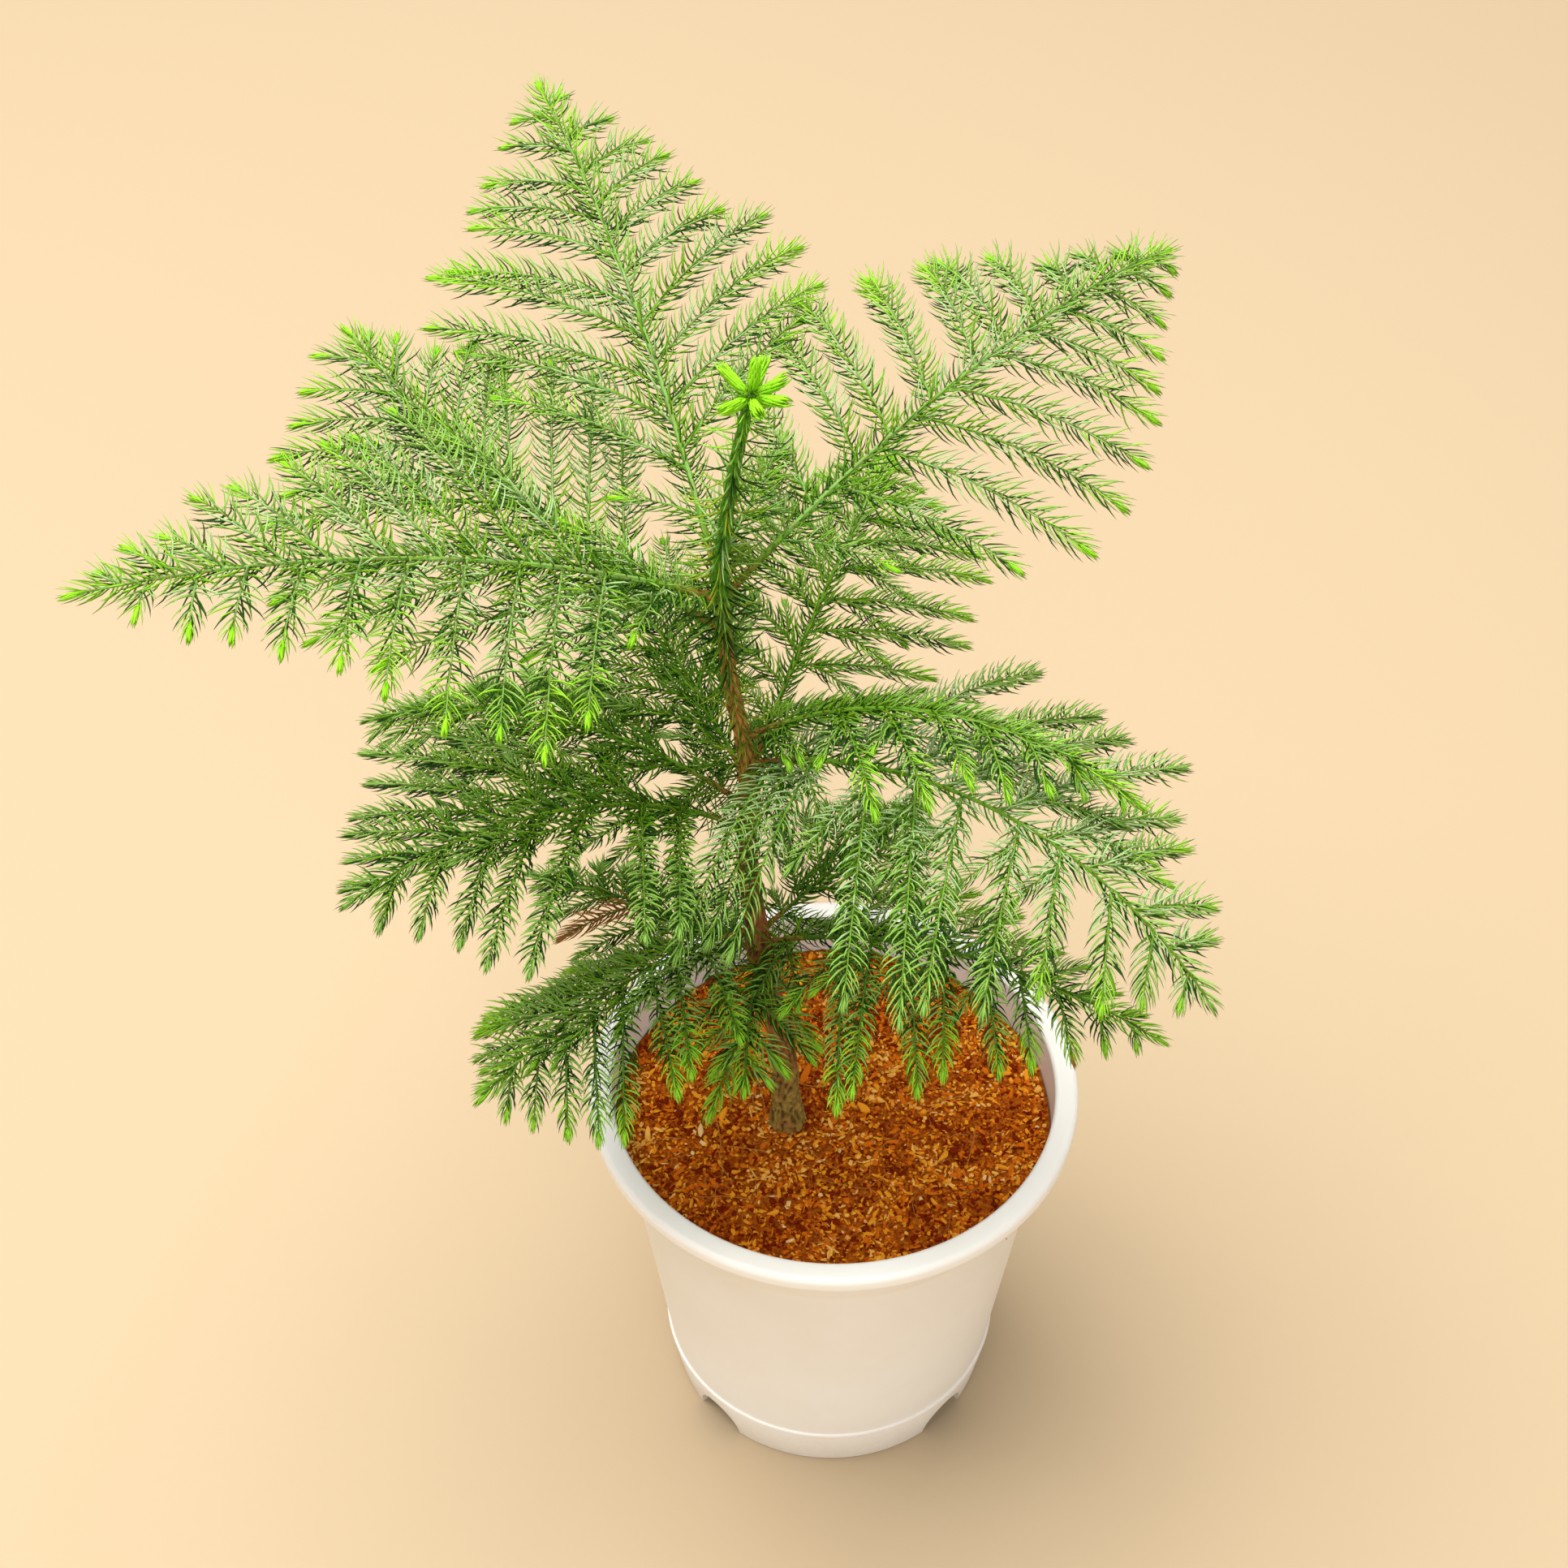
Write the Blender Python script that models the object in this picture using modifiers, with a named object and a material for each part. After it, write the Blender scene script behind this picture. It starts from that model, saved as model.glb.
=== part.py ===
"""A young Norfolk Island pine in a white nursery pot.

A slender trunk runs up through three loose whorls of flat fronds and ends in a rosette of new
shoots. Each frond is a bare bough and, 0.3 mm beyond its tip, a mass of foliage: one stem that
carries two rows of branchlets, each a ridged blade whose teeth are its sprays of needles.
Units are metres, +Z is up, and the origin is on the ground under the middle of the whole plant.
"""

import math
import random
from collections import namedtuple

import bmesh
import bpy
from mathutils import Matrix, Vector
from mathutils.bvhtree import BVHTree

MM = 0.001
UP = Vector((0, 0, 1))
GAP = 0.3 * MM

# The pot's axis, seen from the middle of the plant's box on the ground.
POT_AT = Vector((43 * MM, -36 * MM, 0))
POT_SIDES = 36
FOOT_RADIUS = 53.2 * MM
SKIRT_RADIUS = 56.2 * MM
SKIRT_TOP = 18.6 * MM
BODY_FOOT_RADIUS = 55.4 * MM
NECK_RADIUS = 66.9 * MM
NECK_HEIGHT = 112.5 * MM
RIM_RADIUS = 77.5 * MM
RIM_LIP_HEIGHT = 133.6 * MM
POT_HEIGHT = 136.4 * MM
MOUTH_RADIUS = 70 * MM
WALL = 1.6 * MM
FLOOR_UNDERSIDE = 13.6 * MM
FLOOR_TOP = 15.2 * MM
ARCH_AZIMUTHS = (-135, -44, 42, 135)
ARCH_WIDTH = 18 * MM
ARCH_HEIGHT = 12.8 * MM
SOIL_HEIGHT = 119.7 * MM
SOIL_BANK = 0.8 * MM

# The trunk's route: height above the ground, and how far it stands from the pot's axis along X.
TRUNK_ROUTE_MM = (
    (120, -14.7), (128, -14.8), (155, -16.2), (197, -22.6), (243, -26.3), (275, -25.4),
    (305, -29.8), (335, -32.2), (352, -32), (378, -28.6), (404, -24),
)
TRUNK_DEPTH = -2.5 * MM
TRUNK_FOOT_RADIUS = 4.7 * MM
TRUNK_TIP_RADIUS = 1.5 * MM
FLARE_RADIUS = 1.6 * MM
FLARE_HEIGHT = 7 * MM
WHORL_SWELLING = 0.8 * MM
WHORL_SPREAD = 9 * MM
TRUNK_STEPS = 26

# A frond is a bare bough over its first share, then a stem that ends inside its last blade.
AXIS_STEPS = 40
BOUGH_SHARE = 0.13
BOUGH_RADIUS = 1.7 * MM
BOUGH_TAPER = (1.15, 1, 0.95, 0.9)
STEM_TIP_RADIUS = 0.7 * MM
STEM_END = 0.97
STEM_STEPS = 8
LAST_BLADE = 0.88

# A branchlet's blade: its teeth end at LAST_TOOTH, and NOTCH, ROOT and TAPER shape its outline.
BLADE_STEPS = 12
TOOTH_LENGTH = 17 * MM
MOST_TEETH = 3
BLADE_WIDTH = 11 * MM
BLADE_THICKNESS = 2.4 * MM
LAST_TOOTH = 0.88
NOTCH = 0.36
ROOT = 0.3
TAPER = 0.5
CLEARANCE = 0.5 * MM
SHORTER = 0.85
SHORTEST_BRANCHLET = 9 * MM
TIP_LENGTH = 6 * MM
INNER_LOSS = 0.25
SMALLEST = 0.002 * MM
SHARP_ANGLE = math.radians(35)

# One row for each frond. node is its height on the trunk; azimuth and rise are its heading there;
# over its length it turns by swing and bends down by droop; left and right are the lengths of its
# longest branchlets, which leave the stem at sweep_base near the trunk and sweep_tip at its end;
# roll and lift tilt the two rows; sag is how far a branchlet bends down; widest is the share of
# the length at which the branchlets are longest. Lengths are in millimetres, angles in degrees.
Frond = namedtuple(
    "Frond",
    "name whorl node azimuth rise droop swing length pairs left right "
    "sweep_base sweep_tip roll lift sag widest",
)
FRONDS = (
    Frond("top_back", "top", 340, 105, 27, 23, 6, 190, 10, 70, 72, 43, 52, 0, 0, 0.46, 0.38),
    Frond("top_right", "top", 337, 37, 32, 49, 16, 191, 10, 76, 62, 67, 50, 8, 0, 0.6, 0.38),
    Frond("top_left", "top", 338, 195, 29, 25, 10, 171, 10, 72, 78, 71, 63, 2, 8, 0.43, 0.26),
    Frond("top_back_left", "top", 327, 160, 21, 3, -30, 136, 9, 84, 70, 60, 37, 0, 6, 0.4, 0.32),
    Frond("top_inner", "top", 350, 66, 20, 5, 0, 42, 3, 8, 8, 50, 44, 0, 4, 0.4, 0.3),
    Frond("middle_right", "middle", 277, -24, 32, 80, -13, 157.5, 8, 90, 76, 70, 66, -4, -1, 0.5, 0.35),
    Frond("middle_far_right", "middle", 287, -10, 40, 74, -14, 120, 7, 30, 42, 60, 50, -20, -10, 0.6, 0.24),
    Frond("middle_back", "middle", 274, 71, 14, 37, 7, 172, 9, 40, 54, 64, 48, 14, 8, 0.46, 0.5),
    Frond("middle_back_left", "middle", 268, 115, 15, 30, 0, 114, 8, 42, 44, 46, 44, -14, 12, 0.46, 0.25),
    Frond("middle_far_left", "middle", 260, 156, 28, 60, 9, 127, 8, 46, 62, 56, 38, 14, -6, 0.55, 0.45),
    Frond("middle_left", "middle", 251, 203, 46, 63, 12, 131, 7, 85, 79, 56, 49, 15, 4, 0.42, 0.37),
    Frond("lower_right", "lower", 203, -26, 36, 45, -8, 136, 9, 40, 66, 63, 50, -5, 4, 0.48, 0.26),
    Frond("lower_left", "lower", 210, 216, 19, 42, 6, 102, 8, 60, 54, 66, 52, 24, -2, 0.48, 0.5),
    Frond("lower_back_left", "lower", 199, 152, 6, 28, -6, 87, 6, 34, 48, 54, 45, 10, 0, 0.5, 0.3),
    Frond("lower_back_right", "lower", 207, 46, 6, 40, 24, 100, 7, 38, 38, 50, 44, 5, 5, 0.5, 0.3),
    Frond("lower_front", "lower", 197, -97, 25, 30, 6, 62, 4, 30, 30, 55, 45, 0, -12, 0.6, 0.3),
)
FIRST_PAIR = 0.17
LAST_PAIR = 0.95

# How far chance moves each branchlet: shares of the spacing, degrees, and factors.
SPACING_CHANCE = 0.12
ANGLE_CHANCE = 4
LENGTH_CHANCE = (0.93, 1.05)
SAG_CHANCE = (0.85, 1.15)

# The rosette of new shoots at the leader's tip: azimuth and rise of each.
ROSETTE = ((129, 22), (68, 28), (-22, 12), (231, 10), (285, 18), (20, 78))
ROSETTE_SHOOT = 13.5 * MM
ROSETTE_WIDTH = 7 * MM
ROSETTE_THICKNESS = 4 * MM
ROSETTE_STALK = 3 * MM
STALK_RADIUS = 1.5 * MM

COLOURS = {
    "pot": ((0.86, 0.83, 0.78), 0.4),
    "growing_medium": ((0.25, 0.09, 0.03), 0.95),
    "bark": ((0.23, 0.1, 0.05), 0.85),
    "top": ((0.18, 0.42, 0.08), 0.5),
    "middle": ((0.07, 0.26, 0.05), 0.5),
    "lower": ((0.05, 0.2, 0.04), 0.5),
    "new_shoots": ((0.32, 0.62, 0.03), 0.5),
}


def clear_scene():
    for thing in list(bpy.data.objects):
        bpy.data.objects.remove(thing, do_unlink=True)


def material(name):
    found = bpy.data.materials.get(name)
    if found:
        return found
    colour, roughness = COLOURS[name]
    made = bpy.data.materials.new(name)
    made.use_nodes = True
    shader = made.node_tree.nodes["Principled BSDF"]
    shader.inputs["Base Color"].default_value = (*colour, 1)
    shader.inputs["Roughness"].default_value = roughness
    shader.inputs["Metallic"].default_value = 0
    return made


def collection(name):
    made = bpy.data.collections.new(name)
    bpy.context.scene.collection.children.link(made)
    return made


def place(name, mesh, home, look):
    """A new object in a collection, with its material."""
    thing = bpy.data.objects.new(name, mesh)
    home.objects.link(thing)
    mesh.materials.clear()
    mesh.materials.append(material(look))
    return thing


def evaluated_mesh(thing):
    bpy.context.view_layer.update()
    graph = bpy.context.evaluated_depsgraph_get()
    return bpy.data.meshes.new_from_object(thing.evaluated_get(graph))


def apply_modifiers(thing):
    mesh = evaluated_mesh(thing)
    thing.modifiers.clear()
    old, thing.data = thing.data, mesh
    bpy.data.meshes.remove(old)


def shade_round(thing):
    thing.data.shade_smooth()
    thing.data.set_sharp_from_angle(angle=SHARP_ANGLE)


def heading(azimuth, rise):
    turn, tilt = math.radians(azimuth), math.radians(rise)
    return Vector((math.cos(turn) * math.cos(tilt), math.sin(turn) * math.cos(tilt), math.sin(tilt)))


def turn_about(axis, degrees):
    return Matrix.Rotation(math.radians(degrees), 3, axis)


# The pot and what fills it


def turned(name, profile, home, look):
    """A profile of radius and height, turned round the pot's axis by a Screw modifier."""
    mesh = bpy.data.meshes.new(name)
    bm = bmesh.new()
    points = [bm.verts.new((radius, 0, height)) for radius, height in profile]
    for low, high in zip(points, points[1:]):
        bm.edges.new((low, high))
    bm.to_mesh(mesh)
    bm.free()
    thing = place(name, mesh, home, look)
    thing.location = POT_AT
    screw = thing.modifiers.new("turn", "SCREW")
    screw.steps = screw.render_steps = POT_SIDES
    screw.use_merge_vertices = True
    screw.merge_threshold = 0.00001
    return thing


def pot_profile():
    """From the middle of the floor's upper side, up the inside, over the rim, down and back in."""
    outside = [
        (RIM_RADIUS - 2.1 * MM, POT_HEIGHT),
        (RIM_RADIUS - 0.5 * MM, POT_HEIGHT - 0.8 * MM),
        (RIM_RADIUS, RIM_LIP_HEIGHT),
        (RIM_RADIUS - 0.9 * MM, RIM_LIP_HEIGHT - 2.4 * MM),
        (NECK_RADIUS + 1.3 * MM, NECK_HEIGHT + 2.5 * MM),
        (NECK_RADIUS, NECK_HEIGHT),
        (BODY_FOOT_RADIUS, SKIRT_TOP + 0.6 * MM),
        (SKIRT_RADIUS - 0.2 * MM, SKIRT_TOP),
        (SKIRT_RADIUS, SKIRT_TOP - 0.8 * MM),
        (FOOT_RADIUS, 0.5 * MM),
        (FOOT_RADIUS - 0.5 * MM, 0),
    ]
    inside = [
        (0, FLOOR_TOP),
        (BODY_FOOT_RADIUS - WALL - 2 * MM, FLOOR_TOP),
        (BODY_FOOT_RADIUS - WALL, FLOOR_TOP + 2 * MM),
        (NECK_RADIUS - WALL, NECK_HEIGHT),
        (MOUTH_RADIUS - 0.3 * MM, NECK_HEIGHT + 5.5 * MM),
        (MOUTH_RADIUS, POT_HEIGHT - 2 * MM),
        (MOUTH_RADIUS + 1.4 * MM, POT_HEIGHT),
    ]
    underside = [
        (FOOT_RADIUS - 2.2 * MM, 0),
        (SKIRT_RADIUS - 3.4 * MM, FLOOR_UNDERSIDE),
        (0, FLOOR_UNDERSIDE),
    ]
    return outside, inside, underside


def make_pot(home, cutters):
    """The turned pot, with four shallow drainage arches cut through its foot."""
    outside, inside, underside = pot_profile()
    pot = turned("pot", inside + outside + underside, home, "pot")
    arch_mesh = bpy.data.meshes.new("foot_arch")
    bm = bmesh.new()
    for azimuth in ARCH_AZIMUTHS:
        made = bmesh.ops.create_cone(
            bm, cap_ends=True, segments=16, radius1=1, radius2=1, depth=1
        )["verts"]
        bmesh.ops.rotate(bm, verts=made, matrix=turn_about("Y", 90))
        bmesh.ops.scale(bm, verts=made, vec=(ARCH_WIDTH, ARCH_WIDTH / 2, ARCH_HEIGHT))
        bmesh.ops.translate(bm, verts=made, vec=(FOOT_RADIUS, 0, 0))
        bmesh.ops.rotate(bm, verts=made, matrix=turn_about("Z", azimuth))
    bm.to_mesh(arch_mesh)
    bm.free()
    arch = place("foot_arch", arch_mesh, cutters, "pot")
    arch.location = POT_AT
    arch.hide_render = True
    arch.display_type = "WIRE"
    cut = pot.modifiers.new("arches", "BOOLEAN")
    cut.operation = "DIFFERENCE"
    cut.object = arch
    apply_modifiers(pot)
    shade_round(pot)


def make_growing_medium(home):
    """The fill of the pot, 0.3 mm clear of its wall and banked up a little against it."""
    edge = MOUTH_RADIUS - 0.3 * MM - GAP
    profile = [
        (0, SOIL_HEIGHT),
        (edge - 14 * MM, SOIL_HEIGHT),
        (edge, SOIL_HEIGHT + SOIL_BANK),
        (edge - 0.2 * MM, NECK_HEIGHT + 6 * MM),
        (NECK_RADIUS - WALL - 1.5 * GAP, NECK_HEIGHT),
        (BODY_FOOT_RADIUS - WALL - 1.5 * GAP, FLOOR_TOP + 2.4 * MM),
        (BODY_FOOT_RADIUS - WALL - 2.4 * MM, FLOOR_TOP + GAP),
        (0, FLOOR_TOP + GAP),
    ]
    medium = turned("growing_medium", profile, home, "growing_medium")
    apply_modifiers(medium)
    shade_round(medium)


# The trunk and its limbs


def on_trunk(height):
    """The middle of the trunk at a height, on a smooth curve through its route."""
    route = [(h * MM, x * MM) for h, x in TRUNK_ROUTE_MM]
    last = len(route) - 2
    k = next((i for i in range(last) if height < route[i + 1][0]), last)
    (h0, x0), (h1, x1) = route[k], route[k + 1]
    t = (height - h0) / (h1 - h0)

    def slope(i):
        a, b = route[max(i - 1, 0)], route[min(i + 1, len(route) - 1)]
        return (b[1] - a[1]) / (b[0] - a[0])

    m0, m1 = slope(k) * (h1 - h0), slope(k + 1) * (h1 - h0)
    x = (
        (2 * t**3 - 3 * t**2 + 1) * x0
        + (t**3 - 2 * t**2 + t) * m0
        + (3 * t**2 - 2 * t**3) * x1
        + (t**3 - t**2) * m1
    )
    return POT_AT + Vector((x, TRUNK_DEPTH, height))


def trunk_radius(height):
    """The trunk's taper, its flare at the ground and its swelling at each whorl."""
    foot, tip = TRUNK_ROUTE_MM[0][0] * MM, TRUNK_ROUTE_MM[-1][0] * MM
    share = (height - foot) / (tip - foot)
    radius = TRUNK_FOOT_RADIUS + (TRUNK_TIP_RADIUS - TRUNK_FOOT_RADIUS) * share**0.8
    radius += FLARE_RADIUS * math.exp(-(height - foot) / FLARE_HEIGHT)
    for whorl in ("top", "middle", "lower"):
        nodes = [row.node * MM for row in FRONDS if row.whorl == whorl]
        middle = sum(nodes) / len(nodes)
        radius += WHORL_SWELLING * math.exp(-(((height - middle) / WHORL_SPREAD) ** 2))
    return radius


def limb_mesh(name, points, radii, resolution):
    """A tapering limb: a poly curve with a round bevel and filled caps, made a closed mesh."""
    curve = bpy.data.curves.new(name, "CURVE")
    curve.dimensions = "3D"
    curve.bevel_depth = 1
    curve.bevel_resolution = resolution
    curve.use_fill_caps = True
    spline = curve.splines.new("POLY")
    spline.points.add(len(points) - 1)
    for spot, point, radius in zip(spline.points, points, radii):
        spot.co = (*point, 1)
        spot.radius = radius
    guide = bpy.data.objects.new(name + "_guide", curve)
    bpy.context.scene.collection.objects.link(guide)
    mesh = evaluated_mesh(guide)
    bpy.data.objects.remove(guide, do_unlink=True)
    bm = bmesh.new()
    bm.from_mesh(mesh)
    bmesh.ops.remove_doubles(bm, verts=bm.verts, dist=0.00001)
    bmesh.ops.recalc_face_normals(bm, faces=bm.faces)
    bm.to_mesh(mesh)
    bm.free()
    mesh.name = name
    return mesh


def trunk_points(clearance):
    foot, tip = TRUNK_ROUTE_MM[0][0] * MM, TRUNK_ROUTE_MM[-1][0] * MM
    heights = [foot, foot + 2 * MM, foot + 5 * MM]
    heights += [foot + (tip - foot) * (k / TRUNK_STEPS) for k in range(2, TRUNK_STEPS + 1)]
    points = [on_trunk(height) for height in heights]
    points[0].x = points[1].x
    return points, [trunk_radius(height) + clearance for height in heights]


def make_trunk(home):
    points, radii = trunk_points(0)
    trunk = place("trunk", limb_mesh("trunk", points, radii, 2), home, "bark")
    shade_round(trunk)


def make_trunk_cutter(cutters):
    """The trunk with 0.3 mm added all round, which shapes the foot of every bough."""
    points, radii = trunk_points(GAP)
    points[0] = points[0] - UP * MM
    cutter = place("trunk_clearance", limb_mesh("trunk_clearance", points, radii, 2), cutters, "bark")
    cutter.hide_render = True
    cutter.display_type = "WIRE"
    return cutter


# The rule by which a frond grows


def frond_axis(row):
    """The frond's own line: its heading turns by swing and bends down by droop along its length."""
    length = row.length * MM / AXIS_STEPS
    points, ways = [on_trunk(row.node * MM)], []
    for k in range(AXIS_STEPS):
        share = (k + 0.5) / AXIS_STEPS
        ways.append(heading(row.azimuth + row.swing * share, row.rise - row.droop * share))
        points.append(points[-1] + ways[-1] * length)
    ways.append(ways[-1])
    return points, ways


def along(points, share):
    """The point at a share of the way along evenly spaced points."""
    place_on = share * (len(points) - 1)
    k = min(int(place_on), len(points) - 2)
    return points[k].lerp(points[k + 1], place_on - k)


def branchlet_length(row, side, share):
    longest = (row.left if side > 0 else row.right) * MM
    if share > row.widest:
        size = (1 - share) / (1 - row.widest)
    else:
        size = 1 - INNER_LOSS * (row.widest - share) / row.widest
    return longest * size + TIP_LENGTH


def branchlets(row, seed):
    """Every branchlet of a frond: where it starts, its first heading, its length and its sag."""
    chance = random.Random(seed)
    points, ways = frond_axis(row)
    spacing = (LAST_PAIR - FIRST_PAIR) / row.pairs
    for k in range(row.pairs):
        for side in (1, -1):
            share = FIRST_PAIR + spacing * (k + (0.25 if side > 0 else 0.75))
            share += chance.uniform(-SPACING_CHANCE, SPACING_CHANCE) * spacing
            way = along(ways, share)
            across = UP.cross(way).normalized()
            over = way.cross(across)
            tilt = row.lift + side * row.roll + chance.uniform(-ANGLE_CHANCE, ANGLE_CHANCE)
            sweep = row.sweep_base + (row.sweep_tip - row.sweep_base) * share
            sweep += chance.uniform(-ANGLE_CHANCE, ANGLE_CHANCE)
            tilt, sweep = math.radians(tilt), math.radians(sweep)
            outward = across * side * math.cos(tilt) + over * math.sin(tilt)
            first = way * math.cos(sweep) + outward * math.sin(sweep)
            length = branchlet_length(row, side, share) * chance.uniform(*LENGTH_CHANCE)
            yield along(points, share), first, length, row.sag * chance.uniform(*SAG_CHANCE)


def branchlet_line(start, first, length, sag):
    """A branchlet's own line, which bends down more and more towards its tip."""
    points = [start.copy()]
    for k in range(BLADE_STEPS):
        way = (first - UP * sag * (k + 0.5) / BLADE_STEPS).normalized()
        points.append(points[-1] + way * length / BLADE_STEPS)
    return points


def toothed_blade(name, points, width, thickness, teeth):
    """A blade of diamond section along a line, with forward teeth down both edges.

    Its ridge runs along the upper and lower side, and its outline goes out to the tip of each
    tooth and back to the notch before the next, so it is lofted face by face between the two.
    """
    bm = bmesh.new()
    chord = points[-1] - points[0]
    across = UP.cross(chord).normalized()
    over = chord.cross(across).normalized()

    def outline(share, reach):
        size = 1 - TAPER * share**2
        return along(points, share) + across * reach * width / 2 * size

    ridge = []
    for k in range(teeth):
        middle = along(points, (k + 0.45) / teeth * LAST_TOOTH)
        lift = over * thickness / 2 * (1 - 0.45 * k / teeth)
        ridge.append((bm.verts.new(middle + lift), bm.verts.new(middle - lift)))
    end = bm.verts.new(points[-1])
    edges = {}
    for side in (1, -1):
        line = [bm.verts.new(outline(0, ROOT * side))]
        for k in range(teeth):
            line.append(bm.verts.new(outline((k + 1) / teeth * LAST_TOOTH, side)))
            if k < teeth - 1:
                line.append(bm.verts.new(outline((k + 0.88) / teeth * LAST_TOOTH, NOTCH * side)))
        edges[side] = line + [end]
    for layer, turn in ((0, 1), (1, -1)):
        spine = [pair[layer] for pair in ridge]

        def face(a, b, c, hand):
            bm.faces.new((a, b, c) if turn * hand > 0 else (a, c, b))

        for side, line in edges.items():
            for k, top in enumerate(spine):
                face(top, line[2 * k + 1], line[2 * k], side)
                face(top, line[2 * k + 2], line[2 * k + 1], side)
                if k < teeth - 1:
                    face(top, spine[k + 1], line[2 * k + 2], side)
        face(spine[0], edges[1][0], edges[-1][0], 1)
    mesh = bpy.data.meshes.new(name)
    bm.to_mesh(mesh)
    bm.free()
    return mesh


def teeth_for(length):
    return max(1, min(MOST_TEETH, round(length / TOOTH_LENGTH)))


def search_tree(mesh):
    corners = [vertex.co.copy() for vertex in mesh.vertices]
    return BVHTree.FromPolygons(corners, [face.vertices[:] for face in mesh.polygons])


def clear_blade(name, start, first, length, sag, others):
    """The longest blade on this branchlet that stays clear of the other limbs and masses."""
    while length > SHORTEST_BRANCHLET:
        points = branchlet_line(start, first, length, sag)
        teeth = teeth_for(length)
        guard = toothed_blade(
            name, points, BLADE_WIDTH + 2 * CLEARANCE, BLADE_THICKNESS + 2 * CLEARANCE, teeth
        )
        touched = any(search_tree(guard).overlap(tree) for tree in others)
        bpy.data.meshes.remove(guard)
        if not touched:
            return toothed_blade(name, points, BLADE_WIDTH, BLADE_THICKNESS, teeth)
        length *= SHORTER
    return None


def fuse(stem, blades):
    """Joins a stem and its blades into one closed body by one Boolean union."""
    union = stem.modifiers.new("union", "BOOLEAN")
    union.operation = "UNION"
    union.operand_type = "COLLECTION"
    union.collection = blades
    union.solver = "EXACT"
    apply_modifiers(stem)
    keep_main_body(stem.data)
    for blade in list(blades.objects):
        bpy.data.objects.remove(blade, do_unlink=True)
    bpy.data.collections.remove(blades)


def keep_main_body(mesh):
    """Merges what a Boolean left within SMALLEST, and drops any loose scrap or sealed hollow."""
    bm = bmesh.new()
    bm.from_mesh(mesh)
    bmesh.ops.remove_doubles(bm, verts=bm.verts, dist=SMALLEST)
    bmesh.ops.dissolve_degenerate(bm, edges=bm.edges, dist=SMALLEST)
    bmesh.ops.triangulate(bm, faces=bm.faces)
    left, bodies = set(bm.faces), []
    while left:
        body, front = [], [left.pop()]
        while front:
            face = front.pop()
            body.append(face)
            for edge in face.edges:
                for other in edge.link_faces:
                    if other in left and len(edge.link_faces) == 2:
                        left.remove(other)
                        front.append(other)
        bodies.append(body)
    bodies.sort(key=len)
    scraps = [face for body in bodies[:-1] for face in body]
    bmesh.ops.delete(bm, geom=scraps, context="FACES")
    bm.to_mesh(mesh)
    bm.free()


def bough_radius(row):
    """A longer frond has a thicker bough."""
    return BOUGH_RADIUS * (0.6 + row.length / 400)


def make_boughs(home, trunk_cutter):
    """The bare foot of each frond, from the trunk's bark to where its foliage starts."""
    last = len(BOUGH_TAPER) - 1
    for row in FRONDS:
        points, _ = frond_axis(row)
        line = [along(points, BOUGH_SHARE * k / last) for k in range(last + 1)]
        radii = [bough_radius(row) * size for size in BOUGH_TAPER]
        bough = place("bough_" + row.name, limb_mesh(row.name, line, radii, 1), home, "bark")
        cut = bough.modifiers.new("foot", "BOOLEAN")
        cut.operation = "DIFFERENCE"
        cut.object = trunk_cutter
        apply_modifiers(bough)
        keep_main_body(bough.data)
        shade_round(bough)


def make_stem(row, home):
    """The stem of a mass, 0.3 mm beyond its bough and tapering to the frond's tip."""
    points, _ = frond_axis(row)
    start = BOUGH_SHARE + GAP / (row.length * MM)
    shares = [k / STEM_STEPS for k in range(STEM_STEPS + 1)]
    line = [along(points, start + (STEM_END - start) * share) for share in shares]
    thick = bough_radius(row) * BOUGH_TAPER[-1]
    radii = [thick + (STEM_TIP_RADIUS - thick) * share for share in shares]
    name = "foliage_" + row.name
    return place(name, limb_mesh(name, line, radii, 0), home, row.whorl)


def frond_blades(row, seed):
    """Every blade of a frond in turn: its branchlets, and last the frond's own tip."""
    yield from branchlets(row, seed)
    points, ways = frond_axis(row)
    length = row.length * MM * (1 - LAST_BLADE) + TIP_LENGTH
    yield along(points, LAST_BLADE), ways[-1], length, 0.1


def make_masses(home):
    """Every frond's foliage. Each branchlet keeps clear of all that belongs to another node."""
    limbs = [search_tree(moved_mesh(thing)) for thing in home.objects]
    stems = {row.name: make_stem(row, home) for row in FRONDS}
    trees = {name: [search_tree(stem.data)] for name, stem in stems.items()}
    for seed, row in enumerate(FRONDS):
        others = limbs + [tree for name, held in trees.items() if name != row.name for tree in held]
        blades = collection("blades_" + row.name)
        for k, (start, first, length, sag) in enumerate(frond_blades(row, seed)):
            mesh = clear_blade(f"blade_{k}", start, first, length, sag, others)
            if mesh:
                trees[row.name].append(search_tree(mesh))
                place(mesh.name, mesh, blades, row.whorl)
        fuse(stems[row.name], blades)


def moved_mesh(thing):
    """A copy of the object's mesh with its vertices where they stand in the world."""
    mesh = evaluated_mesh(thing)
    mesh.transform(thing.matrix_world)
    return mesh


def make_rosette(home):
    """The leader's growing tip: a short stalk and the fat new shoots round it, fused."""
    top = on_trunk(TRUNK_ROUTE_MM[-1][0] * MM) + UP * GAP
    name = "foliage_leader_tip"
    line = [top, top + UP * ROSETTE_STALK]
    radii = [STALK_RADIUS, STALK_RADIUS]
    stem = place(name, limb_mesh(name, line, radii, 1), home, "new_shoots")
    heart = top.lerp(line[-1], 0.7)
    blades = collection("blades_leader_tip")
    for k, (azimuth, rise) in enumerate(ROSETTE):
        points = branchlet_line(heart, heading(azimuth, rise), ROSETTE_SHOOT, 0)
        mesh = toothed_blade(f"shoot_{k}", points, ROSETTE_WIDTH, ROSETTE_THICKNESS, 2)
        place(mesh.name, mesh, blades, "new_shoots")
    fuse(stem, blades)


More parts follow.
